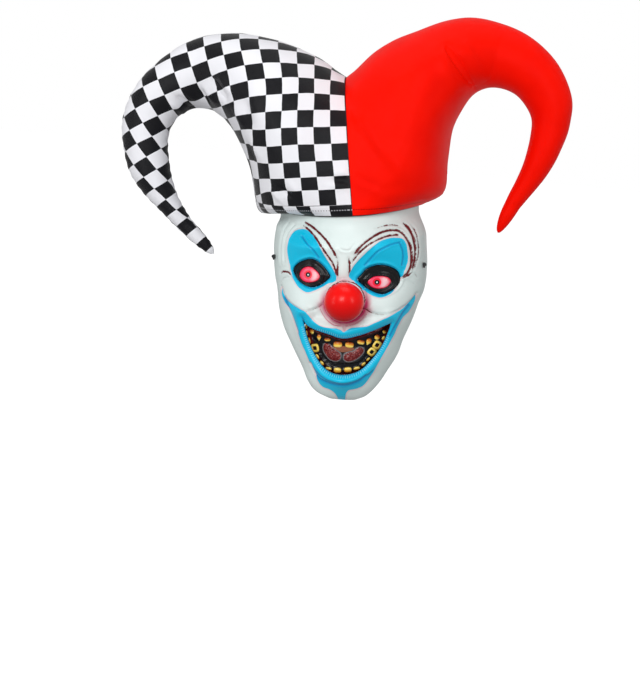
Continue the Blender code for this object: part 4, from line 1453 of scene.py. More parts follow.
@dataclass
class Nose:
    """The glossy red ball on its seat."""

    form: FaceForm
    sink: float = 0.72
    seat_gap: float = 0.0003
    around: int = 96
    down: int = 56

    def build(self) -> None:
        """Makes the ball, with a soft dent or two as on a thin moulding."""
        form = self.form
        turn = full_turn(self.around)
        tip = np.linspace(0.02, math.acos(-self.sink), self.down)[:, None]
        ahead = -np.cos(tip) + 0 * turn
        direction = np.stack((np.sin(tip) * np.cos(turn), ahead, np.sin(tip) * np.sin(turn)), -1)
        radius = form.nose_radius * (1 + 0.006 * lumps(direction, 0.7, 2.0))
        centre = np.array((form.nose_side, -form.nose_seat - form.nose_radius * self.sink, -form.nose_drop))
        points = centre + direction * radius[..., None]
        points[..., 1] = np.minimum(points[..., 1], -form.nose_seat - self.seat_gap)
        # Painted shade: how far down the ball each point is, for the darker red low down
        low = smooth_step((0.35 - direction[..., 2]) / 1.3)
        faces = [*grid_faces(self.down, self.around, True).tolist(), list(range(self.around))]
        obj = make_piece("red_nose", points, faces, {"low": low}, NosePaint().material())
        settle(obj, "red_gloss", "nose")


@dataclass
class ToothForm:
    """One tooth in the front view, in millimetres, with its lean in degrees."""

    side: float
    height: float
    wide: float
    tall: float
    lean: float = 0.0
    square: float = 2.6
    point: float = 0.0
    root: float = 1.0
    hole: float = 0.0


UPPER_TEETH = tuple(ToothForm(*row) for row in (
    (-38.2, -135.0, 3.0, 9.0, 12, 2.4, 0.2, 0.9), (-30.6, -141.0, 5.2, 7.0, 24, 2.4, 0.3, 0.9),
    (-22.0, -146.4, 5.4, 8.6, 6, 2.2, 0.9, 0.9), (-12.5, -147.6, 7.8, 4.6, 6, 2.4, 0.0, 1.5),
    (-0.6, -151.8, 10.2, 7.4, 4, 3.0, 0.0, 0.9), (12.2, -151.0, 10.0, 7.2, -3, 3.0, 0.0, 0.9),
    (24.2, -147.0, 8.4, 5.6, -8, 2.8, 0.0, 0.9), (32.4, -146.0, 6.0, 9.2, -20, 2.2, 0.9, 0.8),
    (41.0, -140.6, 6.2, 6.4, -26, 2.4, 0.2, 0.9), (48.4, -134.2, 4.8, 4.4, -32, 2.4, 0.0, 0.9),
))
LOWER_TEETH = tuple(ToothForm(*row) for row in (
    (-36.6, -144.0, 2.8, 6.6, 14, 2.4, 0.0, 0.4), (-32.8, -151.8, 2.8, 7.6, 22, 2.4, 0.0, 0.4),
    (-25.8, -159.2, 10.2, 10.4, 16, 3.4, 0.0, 0.25, 0.42), (-22.2, -168.3, 3.9, 7.0, 34, 2.2, 0.2, 0.5),
    (-16.4, -174.8, 4.0, 6.4, 40, 2.2, 0.2, 0.5), (-8.4, -179.8, 7.4, 3.6, -4, 2.4, 0.2, 0.5),
    (1.6, -180.8, 9.0, 6.6, 2, 2.8, 0.0, 0.7), (12.9, -179.2, 9.0, 6.6, 6, 2.8, 0.0, 0.7),
    (22.4, -176.6, 7.8, 4.0, 14, 2.4, 0.2, 0.5), (29.3, -171.4, 3.6, 6.2, -40, 2.2, 0.2, 0.5),
    (33.7, -165.8, 2.8, 5.6, -38, 2.2, 0.0, 0.5), (36.9, -157.3, 9.6, 10.0, -34, 3.4, 0.0, 0.25, 0.42),
    (41.9, -149.4, 9.6, 10.4, -28, 3.4, 0.0, 0.25, 0.42), (48.0, -141.4, 3.8, 5.2, -18, 2.4, 0.0, 0.4),
))


@dataclass
class Mouth:
    """The dark tray behind the lips, the two rows of teeth and the tongue."""

    form: FaceForm
    recess: float = 0.006
    teeth_wall: float = 0.0035
    tray_clear: float = 0.0009
    tray_rise: float = 0.0045
    tray_rows: int = 110
    tray_steps: int = 150
    margin: float = 0.0087
    edge_gap: float = 0.0012
    flange: float = 0.0050
    tooth_around: int = 36
    tooth_rings: int = 12
    tooth_lift: float = 0.0006
    tooth_dome: float = 0.0030
    hole_depth: float = 0.0022
    tongue_rows: int = 80
    tongue_columns: int = 120
    tongue_half: float = 0.0232
    tongue_top: float = -0.1525
    tongue_bottom: float = -0.161
    left_lobe: tuple = (
        (-16.1, -153.9), (-13.8, -151.5), (-10.3, -152.5), (-5.7, -156.2), (-1.2, -158.7), (2.8, -161.3),
        (4.0, -164.5), (3.1, -168.4), (-0.9, -170.6), (-6.9, -169.9), (-11.5, -166.2), (-15.3, -161.5),
        (-16.6, -157.4))
    right_lobe: tuple = (
        (8.3, -161.5), (13.2, -158.9), (17.3, -157.6), (20.3, -154.3), (23.5, -152.7), (27.0, -153.6),
        (28.2, -156.9), (26.1, -161.4), (21.5, -166.1), (15.9, -169.2), (10.8, -169.7), (7.7, -168.0),
        (6.9, -164.2))
    brown: tuple = ((-6, -155), (0, -153.5), (7, -153), (14, -153), (18, -155.5), (13, -158.3), (6.5, -160),
                    (1.4, -159.3))

    def floor(self, x: Array, z: Array) -> Array:
        """Reach of the tray's front side.

        Args:
            x: Sides.
            z: Heights.

        Returns:
            The reach, in metres.
        """
        upper, lower = self.form.mouth_lines(self.margin, 40)
        inward = -loop_distance(x, z, np.concatenate((upper, lower[::-1])))
        rim = self.form.face_reach(x, z) - self.flange / np.maximum(self.form.profile(x, z), 0.2)
        tray = self.form.base_reach(x, z) - self.recess - self.teeth_wall - self.tray_clear
        return rim + (tray - rim) * smooth_step(inward / self.tray_rise)

    def build_tray(self) -> None:
        """Makes the tray, with gum mounds behind the teeth."""
        upper, lower = self.form.mouth_lines(self.margin - self.edge_gap, self.tray_steps)
        grid = upper + (lower - upper) * np.linspace(0, 1, self.tray_rows)[:, None, None]
        x, z = grid[..., 0], grid[..., 1]
        from_mouth = loop_distance(x, z, self.form.mouth_loop()) / MM
        reach = self.floor(x, z) + 0.0002
        knobs = np.zeros(x.shape)
        for tooth in (*UPPER_TEETH, *LOWER_TEETH):
            off = np.hypot(x / MM - tooth.side, z / MM - tooth.height)
            knobs = np.maximum(knobs, ridge(off, 0.62 * max(tooth.wide, tooth.tall), 1.1))
        folds = 0.7 * np.abs(lumps(np.stack((x, -reach, z), -1), 0.0035, 5.0))
        reach = reach + MM * (ridge(from_mouth, 2.6, 1.3, at=-3.0) + knobs + folds)
        gum = {"gum": ridge(from_mouth, 2.6) * np.where(z > -0.155, 1, 0.15)}
        faces = grid_faces(self.tray_rows, self.tray_steps + 1)
        obj = make_piece("mouth_tray", np.stack((x, -reach, z), -1), faces, gum, MouthBlack().material())
        settle(obj, "black_gloss", "mouth_plate")

    def tooth(self, form: ToothForm, upper: bool) -> tuple[Array, dict[str, Array]]:
        """One tooth as a rounded pillow.

        Args:
            form: Its sizes.
            upper: Whether its root is above.

        Returns:
            Its points, and the numbers that its paint reads.
        """
        turn = full_turn(self.tooth_around)
        share = np.linspace(1.0, 0.02, self.tooth_rings)[:, None]
        power = 2 / form.square
        u = np.sign(np.cos(turn)) * np.abs(np.cos(turn)) ** power * share
        v = np.sign(np.sin(turn)) * np.abs(np.sin(turn)) ** power * share
        out = np.broadcast_to(share, u.shape)
        toward_root = v if upper else -v
        u = u * (1 - form.point * np.clip(-toward_root, 0, 1) ** 1.2)
        lean = math.radians(form.lean)
        a = u * form.wide / 2
        b = v * form.tall / 2
        x = (form.side + a * math.cos(lean) - b * math.sin(lean)) * MM
        z = (form.height + a * math.sin(lean) + b * math.cos(lean)) * MM
        back = self.form.base_reach(x, z) - self.recess - self.teeth_wall + self.tooth_lift
        dome = np.sqrt(np.clip(1 - out**2.6, 0, 1))
        hole = 1 - smooth_step((out - form.hole * 0.8) / 0.16) if form.hole else np.zeros(out.shape)
        y = -(back + self.tooth_dome * dome - self.hole_depth * hole)
        root = np.clip(toward_root * 0.62 + 0.36, 0, 1) * form.root
        return np.stack((x, y, z), -1), {"root": root, "hole": hole, "rim": out}

    def build_teeth(self, name: str, node: str, forms: Sequence[ToothForm],
                    finish: bpy.types.Material) -> None:
        """Makes one row of teeth.

        Args:
            name: The piece's name.
            node: The solid that it stands for.
            forms: Its teeth.
            finish: Their material.
        """
        teeth = [self.tooth(form, node == "upper_teeth") for form in forms]
        one = grid_faces(self.tooth_rings, self.tooth_around, True)[:, ::-1]
        count = self.tooth_rings * self.tooth_around
        faces = np.concatenate([one + i * count for i in range(len(teeth))])
        stored = {key: np.stack([numbers[key] for _, numbers in teeth]) for key in teeth[0][1]}
        obj = make_piece(name, np.stack([points for points, _ in teeth]), faces, stored, finish)
        settle(obj, "tooth_yellow", node)

    def build_tongue(self) -> None:
        """Makes the tongue's two lobes and its brown top on one skin."""
        across = np.linspace(-1, 1, self.tongue_columns)
        lobes = np.sqrt(np.clip(1 - np.abs(across) ** 2.6, 0, 1))
        top = self.tongue_top + 0.0005 * lobes
        bottom = self.tongue_bottom - 0.0118 * lobes
        rows = np.linspace(0, 1, self.tongue_rows)[:, None]
        z = top + (bottom - top) * rows
        x = np.broadcast_to(self.form.mouth_side - 0.0012 + self.tongue_half * across, z.shape)
        left, right, brown = (loop_distance(x, z, round_loop(table)) / MM
                              for table in (self.left_lobe, self.right_lobe, self.brown))
        lobe = np.minimum(left, right)
        rim = ridge(lobe, 0.55, at=0.3)
        brown = smooth_step(-brown + 0.5)
        warts = np.clip(lumps(np.stack((x, 0 * x, z), -1), 0.0014, 9.0), 0, 1) * (lobe < 0)
        side = np.clip(1 - np.abs(across) ** 6, 0, 1) * np.clip(np.sin(rows * math.pi) * 6, 0, 1)
        swell = 2.6 * np.sqrt(np.clip(-lobe / 4.5, 0, 1))
        raised = 0.8 + side * (1.2 + swell + 0.9 * rim + 1.2 * brown + 0.8 * warts)
        reach = self.floor(x, z) + raised * MM
        stored = {"lobe": smooth_step(-lobe / 0.6 + 0.5), "edge": rim, "brown": brown}
        faces = grid_faces(self.tongue_rows, self.tongue_columns)
        points = np.stack((x, -reach, z), -1)
        obj = make_piece("wet_tongue", points, faces, stored, TonguePaint().material())
        settle(obj, "tongue_red", "tongue")

    def build(self) -> None:
        """Makes the tray, the teeth and the tongue."""
        self.build_tray()
        enamel = ToothPaint().material()
        self.build_teeth("painted_upper_teeth", "upper_teeth", UPPER_TEETH, enamel)
        self.build_teeth("painted_lower_teeth", "lower_teeth", LOWER_TEETH, enamel)
        self.build_tongue()


# Hat


@dataclass
class HornForm:
    """One half of the hat: its cloth, its reach and its sections from centre seam to tip."""

    word: str
    side: int
    cloth: Cloth
    reach: float
    hem_half: float
    tip: tuple
    # Along the horn: the upper line's side and height, the lower line's, and the depth, as shares
    table: tuple
    # Along the horn: degrees that the cloth's grain has turned, at its outer and at its inner side
    grain: tuple
    # Soft creases in the front view: from and to, half width, and height, which is below 0 for a dent
    creases: tuple = ()
    gather: float = 0.0
    seed: float = 0.0
    # How far the print has crept: shares of the horn, then millimetres across and along
    creep: tuple = ((0.0, 1.0), (0.0, 0.0), (0.0, 0.0))
    # Soft local shifts of the print: middle, half widths, then millimetres across and along
    slips: tuple = ()


LEFT_HORN = HornForm(
    word="left",
    side=-1,
    cloth=Cloth.CHECKED,
    reach=0.262,
    hem_half=0.0885,
    tip=(0.614, -0.260),
    table=(
        (0.000, 0.717, 0.321, 0.000, 1.00),
        (0.155, 0.860, 0.418, 0.005, 1.02),
        (0.305, 0.950, 0.452, 0.260, 0.84),
        (0.460, 0.995, 0.515, 0.460, 0.60),
        (0.610, 0.985, 0.590, 0.560, 0.44),
        (0.755, 0.915, 0.678, 0.580, 0.36),
        (0.910, 0.745, 0.755, 0.525, 0.30),
        (0.990, 0.530, 0.800, 0.415, 0.265),
        (0.980, 0.290, 0.797, 0.250, 0.240),
        (0.915, 0.110, 0.770, 0.110, 0.200),
        (0.805, -0.060, 0.722, -0.025, 0.140),
        (0.700, -0.200, 0.668, -0.130, 0.060),
    ),
    grain=((0, 0), (0, 0), (3, 6), (8, 17), (14, 24), (19, 28), (23, 30), (27, 32), (30, 34), (34, 36),
           (38, 38), (40, 40)),
    creases=((-80, 14, -66, 3, 2.6, -3.6), (-90, 10, -76, -3, 3.0, 2.2), (-70, 20, -58, 8, 3.5, 1.8),
             (-24, 27, -1, 28.5, 2.6, -4.0), (-24, 34, -1, 35, 3.0, 2.0), (-26, 20.5, -3, 21.5, 2.8, 2.4),
             (-212, 101, -192, 88, 3.4, -4.4), (-218, 94, -200, 80, 4.0, 2.4),
             (-204, 110, -186, 97, 4.0, 2.0), (-171, 124, -151, 101, 3.2, -5.4),
             (-162, 130, -143, 108, 4.0, 3.2), (-180, 117, -164, 96, 3.6, 2.6),
             (-184, 112, -174, 96, 3.0, -2.6), (-130, 106, -118, 74, 4.6, -3.6),
             (-142, 98, -128, 76, 4.0, 2.4), (-118, 108, -108, 80, 6.0, 1.8),
             (-126, 58, -112, 36, 4.0, -2.4), (-118, 62, -104, 40, 4.0, 1.6), (-60, 84, -22, 40, 9.0, -1.6),
             (-112, 132, -62, 70, 10.0, -1.4), (-96, 146, -40, 100, 9.0, 1.2)),
    gather=0.0004,
    seed=1.0,
    creep=((0.40, 0.45, 0.50, 0.55, 0.63, 0.68, 0.74, 0.80, 0.87, 0.94, 0.985, 1.0),
           (0.0, 0.8, 2.4, 2.7, 1.5, 0.5, -2.0, -5.0, -8.5, -16.0, -23.0, -25.0),
           (0.0, -2.3, -3.6, -6.0, -8.8, -11.5, -13.2, -15.5, -19.0, -27.0, -34.5, -37.0)),
    slips=((-85, 138, 55, 45, -9.0, 0.0), (-118, 70, 22, 45, -3.0, -6.0)),
)

RIGHT_HORN = HornForm(
    word="right",
    side=1,
    cloth=Cloth.RED,
    reach=0.246,
    hem_half=0.078,
    tip=(0.648, -0.205),
    table=(
        (0.000, 0.717, 0.317, 0.000, 1.00),
        (0.150, 0.870, 0.420, 0.065, 1.02),
        (0.300, 0.955, 0.440, 0.240, 0.84),
        (0.450, 1.010, 0.465, 0.410, 0.62),
        (0.570, 1.020, 0.540, 0.560, 0.46),
        (0.690, 0.985, 0.615, 0.620, 0.40),
        (0.825, 0.895, 0.690, 0.615, 0.35),
        (0.950, 0.730, 0.765, 0.560, 0.30),
        (1.008, 0.550, 0.815, 0.455, 0.260),
        (1.000, 0.400, 0.812, 0.350, 0.235),
        (0.955, 0.260, 0.790, 0.235, 0.210),
        (0.880, 0.110, 0.750, 0.115, 0.170),
        (0.775, -0.040, 0.700, 0.000, 0.120),
        (0.700, -0.130, 0.665, -0.095, 0.055),
    ),
    grain=((0, 0),) * 14,
    creases=((84, 184, 119, 142, 3.4, -8.0), (98, 190, 131, 150, 6.5, 3.4), (74, 176, 103, 134, 7.0, 3.4),
             (-11, 111, 57, 36, 7.5, 2.4), (-16, 96, 40, 34, 6.0, -1.6), (6, 118, 68, 50, 7.0, -1.0),
             (1, 34, 27, 24, 2.6, -1.8), (2, 27, 30, 17, 3.5, 1.2), (30, 20, 58, 30, 5.0, -0.9),
             (92, 20, 104, 4, 4.0, -1.4), (20, 130, 70, 165, 12.0, 1.6)),
    seed=5.0,
)


@dataclass
class StepFit:
    """A least-squares fit of places on a grid to the steps wanted between neighbours."""

    down: Array
    along: Array
    weigh_down: Array
    weigh_along: Array
    rounds: int = 900
    enough: float = 1e-16

    @staticmethod
    def gathered(down: Array, along: Array, sign: int = -1) -> Array:
        """Sums the steps that meet at each point.

        Args:
            down: The steps down the grid.
            along: The steps along it.
            sign: What a step counts where it leaves a point.

        Returns:
            The sums.
        """
        total = np.zeros((along.shape[0], down.shape[1], down.shape[2]))
        total[1:] += down
        total[:-1] += sign * down
        total[:, 1:] += along
        total[:, :-1] += sign * along
        return total

    def pulled(self, place: Array) -> Array:
        """The pull of a grid's own steps at each point."""
        down, along = np.diff(place, axis=0), np.diff(place, axis=1)
        return self.gathered(down * self.weigh_down, along * self.weigh_along)

    def solved(self, place: Array) -> Array:
        """Fits the places by conjugate gradients.

        Args:
            place: The first guess.

        Returns:
            The fitted places.
        """
        own = self.gathered(self.weigh_down, self.weigh_along, 1)
        wanted = self.gathered(self.down * self.weigh_down, self.along * self.weigh_along)
        left = wanted - self.pulled(place)
        heading = left / own
        power = (left * heading).sum()
        for _ in range(self.rounds):
            pull = self.pulled(heading)
            far = power / max((heading * pull).sum(), 1e-30)
            place = place + far * heading
            left = left - far * pull
            eased = left / own
            before, power = power, (left * eased).sum()
            if power < self.enough:
                break
            heading = eased + power / before * heading
        return place


@dataclass
class HatHalf:
    """One foam-backed half of the hat, from the centre seam to its horn's tip."""

    form: FaceForm
    horn: HornForm
    crown_rise: float = 0.142
    horn_rise: float = 0.198
    puff: float = 0.010
    rings: int = 190
    around: int = 256
    lining_step: int = 4
    seam_share: float = 9 / 16
    wall: float = 0.0025
    # How the cloth shortens toward the crest, and by how much it stretches at most
    lift: float = 0.4
    stretch: float = 1.7
    # The print at the hem, in millimetres: its pull down, and from where and over what it fades
    pull: float = 8.0
    pull_above: tuple = (20, 34)
    pull_beside: tuple = (108, 22)
    # The hem strip's height, and where round the hem its blocks begin to shorten, in millimetres
    strip: float = 11.9
    strip_from: float = 42
    strip_gain: float = 0.45

    @property
    def at(self) -> Array:
        """Each ring's share of the way from the open edge to the tip."""
        return np.linspace(0, 1, self.rings) ** 1.15

    def crown_edge(self, turn: Array) -> tuple[Array, Array, Array]:
        """The open edge: down the centre seam, then round the hem. Side, reach, height."""
        hem_half = self.horn.hem_half
        seam_turn = math.pi * self.seam_share
        down = np.clip(turn / seam_turn, 0, 1) * math.pi / 2
        round_hem = np.clip((turn - seam_turn) / (math.pi - seam_turn), 0, 1) * math.pi / 2
        on_seam = turn <= seam_turn + 1e-6
        depth = self.form.hem_depth
        side = np.where(on_seam, 0.0, hem_half * np.sin(round_hem))
        seam_reach = depth * np.sin(down) + 0.5 * self.puff * np.sin(2 * down)
        reach = np.where(on_seam, seam_reach, depth * np.cos(round_hem))
        rise = (self.crown_rise + self.form.hem_dip) * np.cos(down) ** 0.9 - self.form.hem_dip
        height = np.where(on_seam, rise, self.form.hem_height(np.cos(round_hem)))
        return side, reach, height

    def skin(self) -> Array:
        """The half's outer side as rings in the hat's frame, from the open edge to the tip."""
        horn = self.horn
        scale = np.array((horn.reach, self.horn_rise, horn.reach, self.horn_rise, self.form.hem_depth))
        rows = np.array(horn.table) * scale
        rows[0, 1] = self.crown_rise
        rows[0, 2] = horn.hem_half
        rows[0, 3] = -self.form.hem_side_dip
        steps = smooth_rows(rows, self.at)
        turn = full_turn(self.around)
        front_turn = np.minimum(turn, 2 * math.pi - turn)
        facing = np.where(turn <= math.pi, -1.0, 1.0)
        share = (1 - np.cos(front_turn)) / 2
        side0, reach0, height0 = self.crown_edge(front_turn)
        bulge_side = side0 - share * horn.hem_half
        bulge_height = height0 - (1 - share) * self.crown_rise + share * self.form.hem_side_dip
        upper_side, upper_height, lower_side, lower_height, depth = (c[:, None] for c in steps.T)
        hold = ((1 - smooth_step(self.at / 0.42)) ** 1.3)[:, None]
        side = upper_side + (lower_side - upper_side) * share + hold * bulge_side
        height = upper_height + (lower_height - upper_height) * share + hold * bulge_height
        calm = smooth_step(self.at / 0.10)[:, None]
        side = side + calm * hold * (self.blurred(bulge_side) - bulge_side)
        height = height + calm * hold * (self.blurred(bulge_height) - bulge_height)
        swell = self.puff * np.sin(math.pi * np.minimum(self.at / 0.4, 1.0))[:, None] * np.sin(front_turn)
        out = hold * reach0 + (1 - hold) * depth * np.sin(front_turn) + swell
        tip = np.array((horn.tip[0] * horn.reach, 0.0, horn.tip[1] * self.horn_rise))
        rings = np.stack((side, facing * out, height), -1)
        bend = np.interp(height, (-0.01, 0.03, 0.09, 0.14), (0.0042, 0.0030, 0.0008, -0.0026))
        rings[..., 0] += horn.side * bend * mound(rings[..., 0] / 0.035)
        last = np.clip((self.at - 0.94) / 0.06, 0, 1)[:, None, None]
        middle = rings.mean(axis=1, keepdims=True)
        rings = middle + last * (tip - middle) * 0.95 + (rings - middle) * np.sqrt(1.0004 - last**2)
        return rings * (horn.side, 1, 1)

    def blurred(self, values: Array) -> Array:
        """Values round a ring, blurred."""
        far = np.minimum(np.arange(self.around), self.around - np.arange(self.around))
        weight = mound(far / (0.055 * self.around))
        spectrum = np.fft.rfft(values) * np.fft.rfft(weight / weight.sum())
        return np.fft.irfft(spectrum, self.around)

    def laid(self, step: Array, by: Array) -> Array:
        """A step on the form as a step in the flat cloth, turned back by an angle."""
        full = np.linalg.norm(step, axis=-1)
        short = np.maximum(np.hypot(step[..., 0], step[..., 2]), 1e-7)
        lift = np.maximum((full / short) ** self.lift, full / short / self.stretch)
        c, s = np.cos(by) * lift, np.sin(by) * lift
        return np.stack((step[..., 0] * c + step[..., 2] * s, step[..., 2] * c - step[..., 0] * s), -1)

    def cloth_places(self, rings: Array) -> Array:
        """Where each point lay in the flat cloth.

        The cloth is laid on the form as a least-squares fit of short steps, each turned back to
        the grain that the photograph shows there.

        Args:
            rings: The half's outer side.

        Returns:
            Places along and across the grain, in millimetres.
        """
        middle = self.around // 2
        rings = rings[:, :middle + 1]
        rows = np.linspace(0, 1, len(self.horn.grain))
        share = (1 - np.cos(np.linspace(0, math.pi, middle + 1))) / 2
        outer, inner = (np.interp(self.at, rows, column)[:, None] for column in np.array(self.horn.grain).T)
        angle = np.radians(outer + (inner - outer) * share**2)
        down = self.laid(np.diff(rings, axis=0), (angle[1:] + angle[:-1]) / 2)
        along = self.laid(np.diff(rings, axis=1), (angle[:, 1:] + angle[:, :-1]) / 2)
        long_down = np.linalg.norm(down, axis=-1) + 1e-6
        long_along = np.linalg.norm(along, axis=-1) + 1e-6
        mean_down = long_down.mean(axis=1)[np.minimum(np.arange(self.rings), self.rings - 2), None]
        weigh_down = np.clip(long_along.mean(axis=1)[1:, None] / long_down, 0.02, 50)[..., None]
        weigh_along = np.clip(mean_down / long_along, 0.02, 50)[..., None]
        place = StepFit(down, along, weigh_down, weigh_along).solved(rings[..., (0, 2)])
        place = place - place[0, int(round(middle * self.seam_share))]
        return np.concatenate((place, place[:, 1:middle][:, ::-1]), axis=1) / MM

    def print_places(self, rings: Array) -> tuple[Array, Array]:
        """Where each point lies in the cloth's print, with the print's creep and slips.

        Args:
            rings: The half's outer side.

        Returns:
            Places along and across the print, in millimetres.
        """
        side, height = rings[..., 0] / MM, rings[..., 2] / MM
        above = height + self.form.hem_dip / MM
        pull = 1 - smooth_step((above - self.pull_above[0]) / self.pull_above[1])
        pull = pull * smooth_step((self.pull_beside[0] - np.abs(side)) / self.pull_beside[1])
        place = self.cloth_places(rings) - pull[..., None] * (0, self.pull)
        creep = [np.interp(self.at, self.horn.creep[0], row) for row in self.horn.creep[1:]]
        place = place + np.stack(creep, -1)[:, None]
        for middle, level, wide, tall, across, along in self.horn.slips:
            near = mound((side - middle) / wide) * mound((height - level) / tall)
            place = place + near[..., None] * (across, along)
        return place[..., 0], place[..., 1]

    def world(self, rings: Array) -> Array:
        """The hat's frame's points in the object's frame."""
        tilt = self.form.tilt
        x = rings[..., 0] * math.cos(tilt) - rings[..., 2] * math.sin(tilt) + self.form.hat_shift
        z = rings[..., 0] * math.sin(tilt) + rings[..., 2] * math.cos(tilt)
        return np.stack((x, rings[..., 1], z), -1)

    def fold(self, rings: Array) -> Array:
        """How far the cloth stands in or out of its plain form.

        Args:
            rings: The half's outer side.

        Returns:
            The distance at each point, in metres.
        """
        world = self.world(rings)
        x, z = world[..., 0], world[..., 2]
        front = smooth_step((0.004 - rings[..., 1]) / 0.012)
        deep = np.zeros(x.shape)
        for x0, z0, x1, z1, width, depth in self.horn.creases:
            off, along = line_distance(x, z, np.array(((x0, z0), (x1, z1))) * MM)
            long = math.hypot(x1 - x0, z1 - z0) * MM
            taper = np.sin(np.clip(along / long, 0.02, 0.98) * math.pi) ** 0.5
            deep += depth * MM * taper * mound(off / (width * MM)) * front
        seed = self.horn.seed
        return deep + lumps(world, 0.075, seed) * 0.0016 + lumps(world, 0.030, seed + 9) * 0.0006

    def seam_distance(self, rings: Array) -> Array:
        """Distance round each ring to the nearer of the crest's and the belly's seam, in metres."""
        run = np.cumsum(np.linalg.norm(np.roll(rings, -1, axis=1) - rings, axis=-1), axis=1)
        half = self.around // 2
        from_crest = np.minimum(run, run[:, -1:] - run)
        return np.minimum(from_crest, np.abs(run - run[:, half - 1:half]))

    def hem_places(self, rings: Array) -> tuple[Array, Array]:
        """Height above the hem and length round it from the middle, in millimetres."""
        forward = np.abs(rings[..., 1]) / self.form.hem_depth
        sideways = np.abs(rings[..., 0]) / self.horn.hem_half
        height = (rings[..., 2] - self.form.hem_height(np.clip(forward, 0, 1))) / MM
        run = np.arctan2(sideways, forward) * 0.5 * (self.horn.hem_half + self.form.hem_depth) / MM
        return height, run + self.strip_gain * np.maximum(run - self.strip_from, 0)

    def faces(self, columns: int, rows: int) -> list[list[int]]:
        """The faces of the outer side, the lining and the rim between them.

        Args:
            columns: Points round a ring of the lining.
            rows: The lining's rings.

        Returns:
            The faces.
        """
        count = self.rings * self.around
        rim = []
        for k in range(columns):
            edge = [(self.lining_step * k + j) % self.around for j in range(self.lining_step + 1)]
            rim.append([*edge, count + (k + 1) % columns, count + k])
        lining = grid_faces(rows, columns, True, count)[:, ::-1]
        faces = [*grid_faces(self.rings, self.around, True).tolist(), *lining.tolist(), *rim]
        return [face[::-1] for face in faces] if self.horn.side > 0 else faces

    def build(self) -> None:
        """Makes the half with its folds, its edges and its lining side."""
        rings = self.skin()
        u, v = self.print_places(rings)
        normal = grid_normals(np.concatenate((rings, rings[:, :1]), axis=1))[:, :-1] * -self.horn.side
        seam = self.seam_distance(rings) / MM
        gather = np.sin(v * 2 * math.pi / 13.0 + u * 0.15) * ridge(seam, 10, self.horn.gather)
        groove = ridge(seam, 1.2, 0.0007)
        at = self.at[:, None]
        raised = (self.fold(rings) + gather - groove) * smooth_step(at / 0.02)
        hem, hem_run = self.hem_places(rings)
        raised = raised + 0.0005 * smooth_step((self.strip - hem) / 0.6) * (at < 0.3)
        outer = rings + normal * raised[..., None]
        every = slice(None, None, self.lining_step)
        inner = (rings - normal * self.wall)[every, every]
        points = np.concatenate((self.world(outer).reshape(-1, 3), self.world(inner).reshape(-1, 3)))
        layers = {"cloth_u": u, "cloth_v": v, "hem_height": np.where(at < 0.32, hem, 60.0),
                  "hem_run": hem_run, "seam": np.where(at < 0.004, 0.0, seam)}
        stored = {key: np.concatenate((values.ravel(), values[every, every].ravel()))
                  for key, values in layers.items()}
        obj = make_piece(f"satin_{self.horn.word}_half", points, self.faces(inner.shape[1], inner.shape[0]),
                         stored, SatinFinish(self.horn.cloth).material())
        slot = "check_satin" if self.horn.cloth is Cloth.CHECKED else "red_satin"
        settle(obj, slot, f"hat_{self.horn.word}")


@dataclass
class Binding:
    """The black band inside the hem that shows as a thin edge."""

    form: FaceForm
    inset: float = 0.0031
    shows: float = 0.0014
    tall: float = 0.012
    wall: float = 0.001
    around: int = 240
    flat: tuple = (0.572, 0.0125)

    def build(self) -> None:
        """Makes the band with a rolled lower edge."""
        form = self.form
        turn = full_turn(self.around)
        profile = ((0.0, self.tall), (0.0, 0.0006), (0.0003, 0.0001), (0.0006, 0.0), (0.0009, 0.0002),
                   (self.wall, 0.0007), (self.wall, self.tall))
        rows = []
        for inward, rise in profile:
            half = np.where(np.cos(turn) < 0, form.hem_left, form.hem_right) - self.inset - inward
            x = half * np.cos(turn)
            y = (form.hem_depth - self.inset - inward) * np.sin(turn)
            level = form.hem_height(np.abs(np.sin(turn))) - self.shows + rise
            side = x * math.cos(form.tilt) - level * math.sin(form.tilt) + form.hat_shift
            rows.append(np.stack((side, y, x * math.sin(form.tilt) + level * math.cos(form.tilt)), -1))
        finish = BraidFinish("black_binding", 2200.0).material()
        faces = grid_faces(len(profile), self.around, True)
        last = faces[-self.around:] + self.around
        last[:, 1:3] = faces[:self.around, (0, 3)]
        obj = make_piece("black_binding", np.array(rows), np.concatenate((faces, last)), None, finish)
        settle(obj, "black_satin", "hem_binding")


